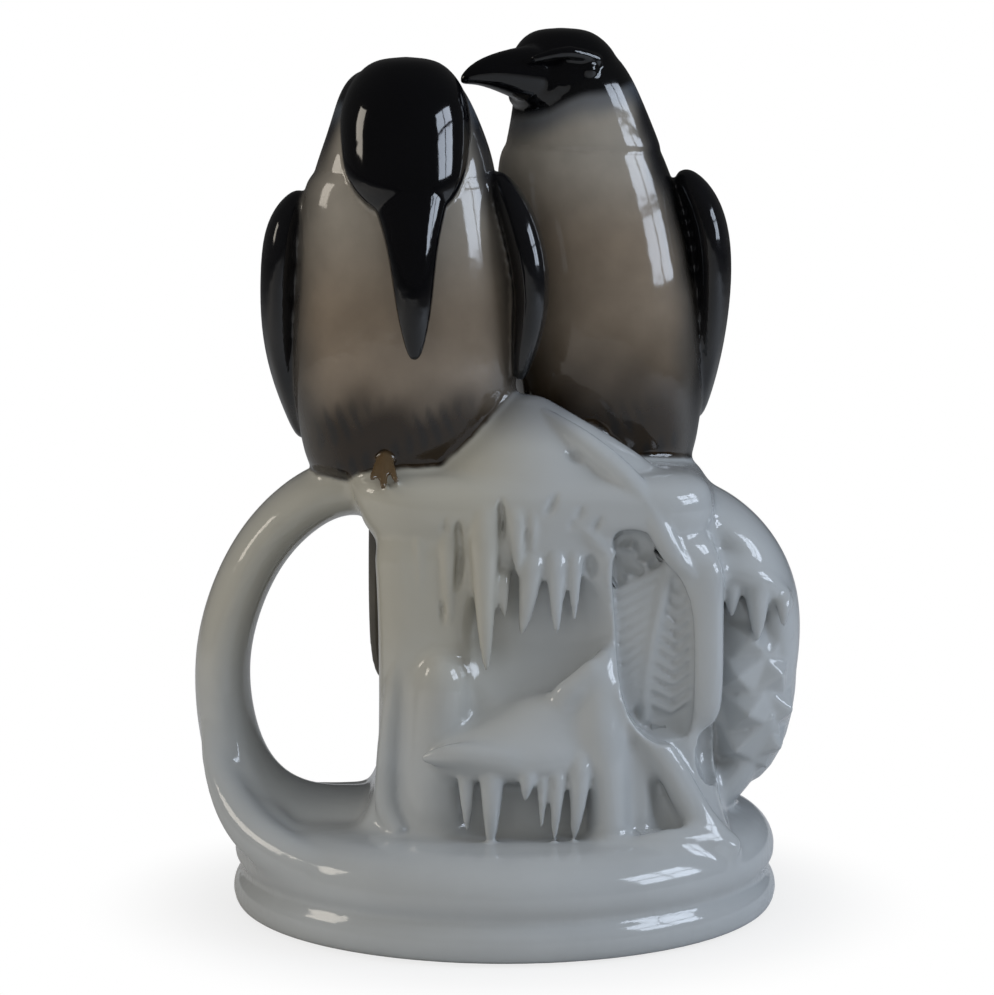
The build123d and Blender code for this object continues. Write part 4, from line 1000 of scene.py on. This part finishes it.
@dataclass(frozen=True)
class Glaze:
    """A clear glossy glaze over underglaze colour held in a colour attribute."""

    name: str
    mottle: float = 0.06
    mottle_scale: float = 90.0
    mottle_detail: float = 4.0
    mottle_span: Row = (0.3, 0.7)
    roughness: float = 0.09
    ripple: float = 0.05
    ripple_scale: float = 260.0
    ripple_detail: float = 1.0
    ripple_height: float = 0.001
    glass_index: float = 1.5

    def material(self) -> bpy.types.Material:
        """Builds the material."""
        material = bpy.data.materials.new(self.name)
        material.use_nodes = True
        material.node_tree.nodes.clear()
        wiring = Wiring(material.node_tree)
        paint = wiring.add("Attribute", {}, attribute_name="underglaze").outputs["Color"]
        place = wiring.add("TexCoord", {}).outputs["Object"]
        clouds = {"Scale": self.mottle_scale, "Detail": self.mottle_detail, "Vector": place}
        cloud = wiring.add("TexNoise", clouds).outputs["Fac"]
        low, high = self.mottle_span
        span = {"From Min": low, "From Max": high, "To Min": 1.0 - self.mottle, "To Max": 1.0 + self.mottle}
        strength = wiring.add("MapRange", {"Value": cloud, **span}).outputs["Result"]
        tone = wiring.add("VectorMath", {0: paint, "Scale": strength}, operation="SCALE").outputs["Vector"]
        ripples = {"Scale": self.ripple_scale, "Detail": self.ripple_detail, "Vector": place}
        orange_peel = wiring.add("TexNoise", ripples).outputs["Fac"]
        relief = {"Strength": self.ripple, "Distance": self.ripple_height, "Height": orange_peel}
        bump = wiring.add("Bump", relief).outputs["Normal"]
        gloss = {"Base Color": tone, "Normal": bump, "Roughness": self.roughness, "IOR": self.glass_index}
        shader = wiring.add("BsdfPrincipled", gloss).outputs["BSDF"]
        wiring.add("OutputMaterial", {"Surface": shader})
        return material


@dataclass
class Kiln:
    """Presses the clay together, softens and paints it, and parts it into castings again."""

    unit: float
    body_voxel: float = 0.9
    body_softness: float = 17.0
    voxel: float = 0.6
    softness: float = 0.8
    sample_voxel: float = 1.1
    quick_voxels: Row = (1.0, 1.2, 1.4)
    brush_rounds: int = 9
    brush_spread: float = 0.6
    brush_contrast: int = 3
    seam_spread: float = 0.5
    smoothing: float = 0.5
    lip: float = 0.9
    sink_share: float = 0.6
    sink_limit: float = 12.0
    seam_rounds: int = 8
    island_area: float = 45.0
    island_rounds: int = 80
    soft_castings: Sequence[str] = (
        "plinth", "ice_rock", "ice_cap", "snow_ridge", "ice_arch", "grotto_arch", "snow_drift", "snow_mound",
        "frost_pillar", "left_penguin_body", "right_penguin_body",
    )

    def fire(
        self, bench: Workbench, decorator: Decorator, glazes: dict[str, Glaze]
    ) -> list[bpy.types.Object]:
        """Turns the clay forms into one finished piece for each casting.

        Args:
            bench: holds the clay forms and the tools to press out of them.
            decorator: paints them.
            glazes: the glaze of each casting.
        Returns:
            The finished pieces, each named after its casting.
        """
        forms = bench.forms
        tree, owners = self._samples(forms)
        soft = [form.piece for form in forms if form.casting in self.soft_castings and not form.late]
        fine = [form.piece for form in forms if form.casting not in self.soft_castings or form.late]
        mass = self._press(soft, self.body_voxel, self.body_softness)
        tool = self._press(bench.cutters, self.voxel, self.softness)
        bench.carve(mass, tool)
        figure = self._press([mass, *fine], self.voxel, self.softness)
        castings = sorted({form.casting for form in forms})
        owner = self._nearest(figure, tree, owners)
        labels = np.array([castings.index(form.casting) for form in forms])[owner]
        brushes = np.eye(len(Paint))[np.array([form.paint.value for form in forms])[owner]]
        self._paint(figure, brushes, decorator)
        self._mark(figure, labels, castings)
        return self._part(figure, castings, glazes)

    def _samples(self, forms: Sequence[Form]) -> tuple[KDTree, np.ndarray]:
        """Points all over each form, to tell later which form a place came from."""
        points, owners = [], []
        for index, form in enumerate(forms):
            copy = form.piece.copy()
            copy.data = form.piece.data.copy()
            bpy.context.collection.objects.link(copy)
            self._remesh(copy, self.sample_voxel)
            points.append(read(copy.data.vertices, "co", 3))
            owners.append(np.full(len(points[-1]), index))
            bpy.data.objects.remove(copy)
        points = np.concatenate(points)
        tree = KDTree(len(points))
        for index, point in enumerate(points):
            tree.insert(point, index)
        tree.balance()
        return tree, np.concatenate(owners)

    def _remesh(self, piece: bpy.types.Object, voxel: float) -> None:
        """Rebuilds a piece's skin on a grid of that pitch in millimetres."""
        activate(piece)
        modify(piece, "REMESH", mode="VOXEL", voxel_size=voxel * self.unit)

    def _press(self, pieces: Sequence[bpy.types.Object], voxel: float, softness: float) -> bpy.types.Object:
        """Joins pieces into one skin and softens its creases, by softness in square millimetres."""
        activate(*pieces)
        bpy.ops.object.join()
        figure = bpy.context.object
        self._remesh(figure, voxel)
        modify(figure, "SMOOTH", factor=self.smoothing, iterations=max(1, round(softness / voxel**2)))
        return figure

    def _nearest(self, figure: bpy.types.Object, tree: KDTree, owners: np.ndarray) -> np.ndarray:
        """The form that each vertex of the figure came from."""
        return owners[[tree.find(vertex.co)[1] for vertex in figure.data.vertices]]

    @staticmethod
    def _edges(figure: bpy.types.Object) -> tuple[np.ndarray, np.ndarray]:
        """Both ends of every edge."""
        first, second = read(figure.data.edges, "vertices", 2, np.int64).T
        return first, second

    def _neighbours(self, figure: bpy.types.Object, field: np.ndarray) -> np.ndarray:
        """The mean of a field over each vertex's neighbours."""
        first, second = self._edges(figure)
        count = len(field)
        degree = np.bincount(first, minlength=count) + np.bincount(second, minlength=count)
        total = np.empty_like(field)
        for column in range(field.shape[1]):
            total[:, column] = np.bincount(first, field[second, column], count) + np.bincount(
                second, field[first, column], count
            )
        return total / np.maximum(degree, 1)[:, None]

    def _settle(self, figure: bpy.types.Object, votes: np.ndarray) -> None:
        """Gives small islands of a casting that has a larger part elsewhere to the casting around them.

        Args:
            figure: the whole pressed figure.
            votes: the weight of every casting at every vertex; rows on small islands are rewritten.
        """
        labels = votes.argmax(axis=1)
        first, second = self._edges(figure)
        first, second = np.concatenate((first, second)), np.concatenate((second, first))
        same = labels[first] == labels[second]
        root = np.arange(len(labels))
        for _ in range(self.island_rounds):
            lowest = root.copy()
            np.minimum.at(lowest, first[same], root[second[same]])
            lowest = lowest[lowest]
            if (lowest == root).all():
                break
            root = lowest
        size = np.bincount(root, minlength=len(labels))[root]
        largest = np.zeros(votes.shape[1], dtype=np.int64)
        np.maximum.at(largest, labels, size)
        pending = (size < self.island_area / self.voxel**2) & (size < largest[labels])
        for _ in range(self.island_rounds):
            ready = pending[first] & ~pending[second]
            if not ready.any():
                break
            votes[first[ready]] = votes[second[ready]]
            pending[first[ready]] = False

    def _paint(self, figure: bpy.types.Object, brushes: np.ndarray, decorator: Decorator) -> None:
        """Softens the brushes' borders and stores the colour of each vertex, and its normal."""
        for _ in range(self.brush_rounds):
            brushes = (1 - self.brush_spread) * brushes + self.brush_spread * self._neighbours(figure, brushes)
        brushes = brushes**self.brush_contrast
        brushes /= brushes.sum(axis=1, keepdims=True)
        mesh = figure.data
        colours = np.ones((len(mesh.vertices), 4))
        colours[:, :3] = decorator.colours(read(mesh.vertices, "co", 3) / self.unit, brushes)
        layer = mesh.color_attributes.new("underglaze", "FLOAT_COLOR", "POINT")
        layer.data.foreach_set("color", colours.ravel())
        kept = mesh.attributes.new("glaze_normal", "FLOAT_VECTOR", "POINT")
        kept.data.foreach_set("vector", read(mesh.vertices, "normal", 3).ravel())

    def _mark(self, figure: bpy.types.Object, labels: np.ndarray, castings: Sequence[str]) -> None:
        """Gives every face the material number of its casting, after a vote that evens out the seams."""
        votes = np.eye(len(castings))[labels]
        for _ in range(self.seam_rounds):
            votes = (1 - self.seam_spread) * votes + self.seam_spread * self._neighbours(figure, votes)
        self._settle(figure, votes)
        mesh = figure.data
        corners = read(mesh.loops, "vertex_index", kind=np.int64)
        starts = read(mesh.polygons, "loop_start", kind=np.int64)
        winner = np.add.reduceat(votes[corners], starts, axis=0).argmax(axis=1)
        mesh.materials.clear()
        for casting in castings:
            mesh.materials.append(bpy.data.materials.new(f"mark_{casting}"))
        mesh.polygons.foreach_set("material_index", winner)

    def _part(
        self, figure: bpy.types.Object, castings: Sequence[str], glazes: dict[str, Glaze]
    ) -> list[bpy.types.Object]:
        """Parts the figure at its seams and closes every piece behind its seam."""
        activate(figure)
        bpy.ops.object.mode_set(mode="EDIT")
        bpy.ops.mesh.separate(type="MATERIAL")
        bpy.ops.object.mode_set(mode="OBJECT")
        finished = []
        made = {}
        for piece in list(bpy.context.selected_objects):
            casting = piece.data.materials[piece.data.polygons[0].material_index].name.removeprefix("mark_")
            glaze = glazes[casting]
            if glaze.name not in made:
                made[glaze.name] = glaze.material()
            piece.name = piece.data.name = f"{casting}_glazed"
            piece.data.materials.clear()
            piece.data.materials.append(made[glaze.name])
            self._close(piece)
            finished.append(piece)
            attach(piece, "root")
            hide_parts(casting)
        return finished

    def _close(self, piece: bpy.types.Object) -> None:
        """Turns each open seam inwards, closes it with a sunk cone and keeps the whole figure's normals."""
        mesh = piece.data
        count = len(mesh.vertices)
        normals = read(mesh.attributes["glaze_normal"].data, "vector", 3)
        activate(piece)
        bpy.ops.object.mode_set(mode="EDIT")
        bpy.ops.mesh.select_mode(type="EDGE")
        bpy.ops.mesh.select_all(action="DESELECT")
        bpy.ops.mesh.select_non_manifold()
        bpy.ops.mesh.extrude_edges_move()
        bpy.ops.object.mode_set(mode="OBJECT")
        places = read(mesh.vertices, "co", 3, np.float32)
        home = {places[index].tobytes(): index for index in range(count)}
        inward = np.array([-normals[home[place.tobytes()]] for place in places[count:]]).reshape(-1, 3)
        places[count:] += inward * self.lip * self.unit
        mesh.vertices.foreach_set("co", places.ravel())
        bpy.ops.object.mode_set(mode="EDIT")
        bpy.ops.mesh.extrude_edges_move()
        bpy.ops.mesh.merge(type="COLLAPSE")
        bpy.ops.object.mode_set(mode="OBJECT")
        self._sink(mesh, count, inward)
        bpy.ops.object.shade_smooth()
        fresh = read(mesh.vertices, "normal", 3)
        fresh[:count] = normals
        mesh.normals_split_custom_set_from_vertices(fresh.tolist())
        mesh.attributes.remove(mesh.attributes["glaze_normal"])

    def _sink(self, mesh: bpy.types.Mesh, count: int, inward: np.ndarray) -> None:
        """Moves the tip of each closing cone deeper into the figure.

        Args:
            mesh: the piece's mesh.
            count: how many vertices the skin has; those of the lip follow, and the tips come last.
            inward: the inward direction of each vertex of the lip.
        """
        places = read(mesh.vertices, "co", 3, np.float32)
        first_tip = count + len(inward)
        pairs = np.sort(read(mesh.edges, "vertices", 2, np.int64), axis=1)
        for tip in range(first_tip, len(places)):
            ring = pairs[pairs[:, 1] == tip, 0]
            ring = ring[(ring >= count) & (ring < first_tip)]
            if len(ring) == 0:
                continue
            spread = np.linalg.norm(places[ring] - places[tip], axis=1).mean()
            depth = min(self.sink_share * spread, self.sink_limit * self.unit)
            places[tip] += inward[ring - count].mean(axis=0) * depth
        mesh.vertices.foreach_set("co", places.ravel())


@dataclass
class Lamp:
    """A soft window: its place and size in millimetres, panes, radiance and tint."""

    name: str
    place: Row
    size: Row
    radiance: float
    tint: Colour
    panes: tuple[int, int] = (1, 1)
    bar: float = 22.0
    mirrored: bool = True

    def hang(self, unit: float) -> None:
        """Hangs the window's panes side by side and turns them to the figurine's middle."""
        middle = Vector(self.place)
        turn = (Vector((0, 0, FIGURE_HEIGHT_MM / 2)) - middle).to_track_quat("-Z", "Y")
        wide = (self.size[0] - self.bar * (self.panes[0] - 1)) / self.panes[0]
        tall = (self.size[1] - self.bar * (self.panes[1] - 1)) / self.panes[1]
        for column in range(self.panes[0]):
            for row in range(self.panes[1]):
                light = bpy.data.lights.new(self.name, "AREA")
                light.shape = "RECTANGLE"
                light.size, light.size_y = wide * unit, tall * unit
                light.energy = self.radiance * math.pi * light.size * light.size_y
                light.color = self.tint
                shift = Vector(
                    (
                        (column - (self.panes[0] - 1) / 2) * (wide + self.bar),
                        (row - (self.panes[1] - 1) / 2) * (tall + self.bar),
                        0.0,
                    )
                )
                lamp = bpy.data.objects.new(f"{self.name}_{column}{row}", light)
                lamp.location = (middle + turn @ shift) * unit
                lamp.rotation_euler = turn.to_euler()
                lamp.visible_glossy = self.mirrored
                bpy.context.collection.objects.link(lamp)


@dataclass
class Studio:
    """The pale floor, the soft lights and the camera at the photograph's place."""

    unit: float
    camera_place: Row = (-1.725, -780.0, 193.2)
    camera_pitch: float = 7.28
    focal_px: float = 3446.5
    sensor_mm: float = 36.0
    floor_size: float = 20000.0
    floor_colour: Colour = (0.70, 0.70, 0.70)
    paper_roughness: float = 0.9
    paper_shine: float = 0.1
    shadow_reach: Row = (58.0, 100.0)
    shadow_veil: float = 0.78
    room_level: float = 0.05
    lamps: Sequence[Lamp] = (
        Lamp("window_left", (-700, -60, 400), (190, 230), 5.5, linear(255, 246, 232)),
        Lamp("window_right", (650, -190, 380), (400, 330), 9.0, linear(226, 238, 255), panes=(2, 2)),
        Lamp("ceiling", (0, -100, 900), (1100, 1100), 0.9, linear(248, 251, 255), mirrored=False),
        Lamp("room_front", (-200, -1300, 260), (1500, 1000), 1.15, linear(252, 252, 250), mirrored=False),
        Lamp("room_left", (-1000, -400, 250), (900, 900), 1.4, linear(255, 248, 238), mirrored=False),
    )

    def build(self) -> None:
        """Lays the floor, hangs the lamps and places the camera."""
        self._floor()
        self._room()
        for lamp in self.lamps:
            lamp.hang(self.unit)
        self._camera()

    def _floor(self) -> None:
        """A wide sheet of pale paper that shows the shadow near the foot and turns white farther out."""
        bpy.ops.object.select_all(action="DESELECT")
        bpy.ops.mesh.primitive_plane_add(size=self.floor_size * self.unit, location=(0, 0, 0))
        floor = bpy.context.object
        floor.name = "studio_floor"
        material = bpy.data.materials.new("studio_paper")
        material.use_nodes = True
        nodes = material.node_tree.nodes
        wiring = Wiring(material.node_tree)
        paper = nodes["Principled BSDF"]
        colour = (*self.floor_colour, 1)
        wiring.feed(
            paper, {"Base Color": colour, "Roughness": self.paper_roughness, "Specular IOR Level": self.paper_shine}
        )
        place = wiring.add("TexCoord", {}).outputs["Object"]
        distance = wiring.add("VectorMath", {0: place}, operation="LENGTH").outputs["Value"]
        near, far = (reach * self.unit for reach in self.shadow_reach)
        span = {"From Min": near, "From Max": far, "To Min": self.shadow_veil, "Value": distance}
        fade = wiring.add("MapRange", span, interpolation_type="SMOOTHSTEP").outputs["Result"]
        camera_ray = wiring.add("LightPath", {}).outputs["Is Camera Ray"]
        seen = wiring.add("Math", {0: fade, 1: camera_ray}, operation="MULTIPLY").outputs["Value"]
        white = wiring.add("Emission", {"Strength": 1.0}).outputs["Emission"]
        blend = wiring.add("MixShader", {"Fac": seen, 1: paper.outputs["BSDF"], 2: white})
        wiring.feed(nodes["Material Output"], {"Surface": blend.outputs["Shader"]})
        floor.data.materials.append(material)
        floor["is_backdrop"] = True

    def _room(self) -> None:
        """White where the camera looks, and a soft grey room for the light."""
        world = bpy.data.worlds.new("studio_room")
        bpy.context.scene.world = world
        world.use_nodes = True
        wiring = Wiring(world.node_tree)
        camera_ray = wiring.add("LightPath", {}).outputs["Is Camera Ray"]
        level = wiring.add("MapRange", {"Value": camera_ray, "To Min": self.room_level, "To Max": 1.0})
        background = world.node_tree.nodes["Background"]
        wiring.feed(background, {"Strength": level.outputs["Result"], "Color": (1, 1, 1, 1)})

    def _camera(self) -> None:
        """The photograph's camera."""
        data = bpy.data.cameras.new("photograph")
        data.sensor_fit = "HORIZONTAL"
        data.sensor_width = self.sensor_mm
        data.lens = self.focal_px / IMAGE_WIDTH_PX * self.sensor_mm
        data.clip_end = 100.0
        camera = bpy.data.objects.new("photograph", data)
        camera.location = Vector(self.camera_place) * self.unit
        camera.rotation_euler = (math.radians(90 - self.camera_pitch), 0, 0)
        bpy.context.collection.objects.link(camera)
        bpy.context.scene.camera = camera


def glaze_book(castings: Iterable[str]) -> dict[str, Glaze]:
    """The glaze of every casting."""
    ice = Glaze("ice_glaze", mottle=0.03, mottle_scale=60.0)
    plumage = Glaze("shaded_plumage_glaze", mottle=0.08, mottle_scale=140.0)
    black = Glaze("black_glaze", mottle=0.10, roughness=0.07)
    wing = Glaze("wing_glaze", mottle=0.16, roughness=0.1)
    toe = Glaze("toe_glaze", mottle=0.2, roughness=0.12)
    book = {}
    for casting in castings:
        if casting.endswith("_foot"):
            book[casting] = toe
        elif casting.endswith(("_wing", "_tail")):
            book[casting] = wing
        elif casting.endswith(("_head", "_bill")):
            book[casting] = black
        elif casting.endswith("_body"):
            book[casting] = plumage
        else:
            book[casting] = ice
    return book


def main() -> None:
    """Builds the figurine on its frame and the studio round it."""
    logging.basicConfig(level=logging.INFO, format="%(message)s")
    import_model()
    cad_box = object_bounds()
    unit = (cad_box[1][2] - cad_box[0][2]) / FIGURE_HEIGHT_MM
    bpy.context.scene.view_settings.view_transform = "Standard"

    bench = Workbench(unit)
    for maker in (Plinth(), Rock(), Arch(), Grotto(), Frost(), Snow(), Icicles(), LEFT_PENGUIN, RIGHT_PENGUIN):
        maker.shape(bench)
        LOG.info("shaped %s, %d forms so far", getattr(maker, "name", type(maker).__name__), len(bench.forms))

    decorator = Decorator(
        left=Plumage((-22.0, -9.0, 0.0), 165, 135, umber_z=125, foot_z=112, nape_z=166, nape_turn=48, crown_z=184),
        right=Plumage(
            (25.0, 9.0, -0.1), 175, 150, umber_z=140, foot_z=110, nape_z=168, nape_turn=80, crown_z=184.4,
            crown_tilt=0.3, facing=-35, flank=(76, 98), back=(92, 112),
        ),
    )
    kiln = Kiln(unit)
    glazes = glaze_book({form.casting for form in bench.forms})
    for piece in kiln.fire(bench, decorator, glazes):
        LOG.info("finished %s: %d faces", piece.name, len(piece.data.polygons))

    Studio(unit).build()


if __name__ == "__main__":
    main()
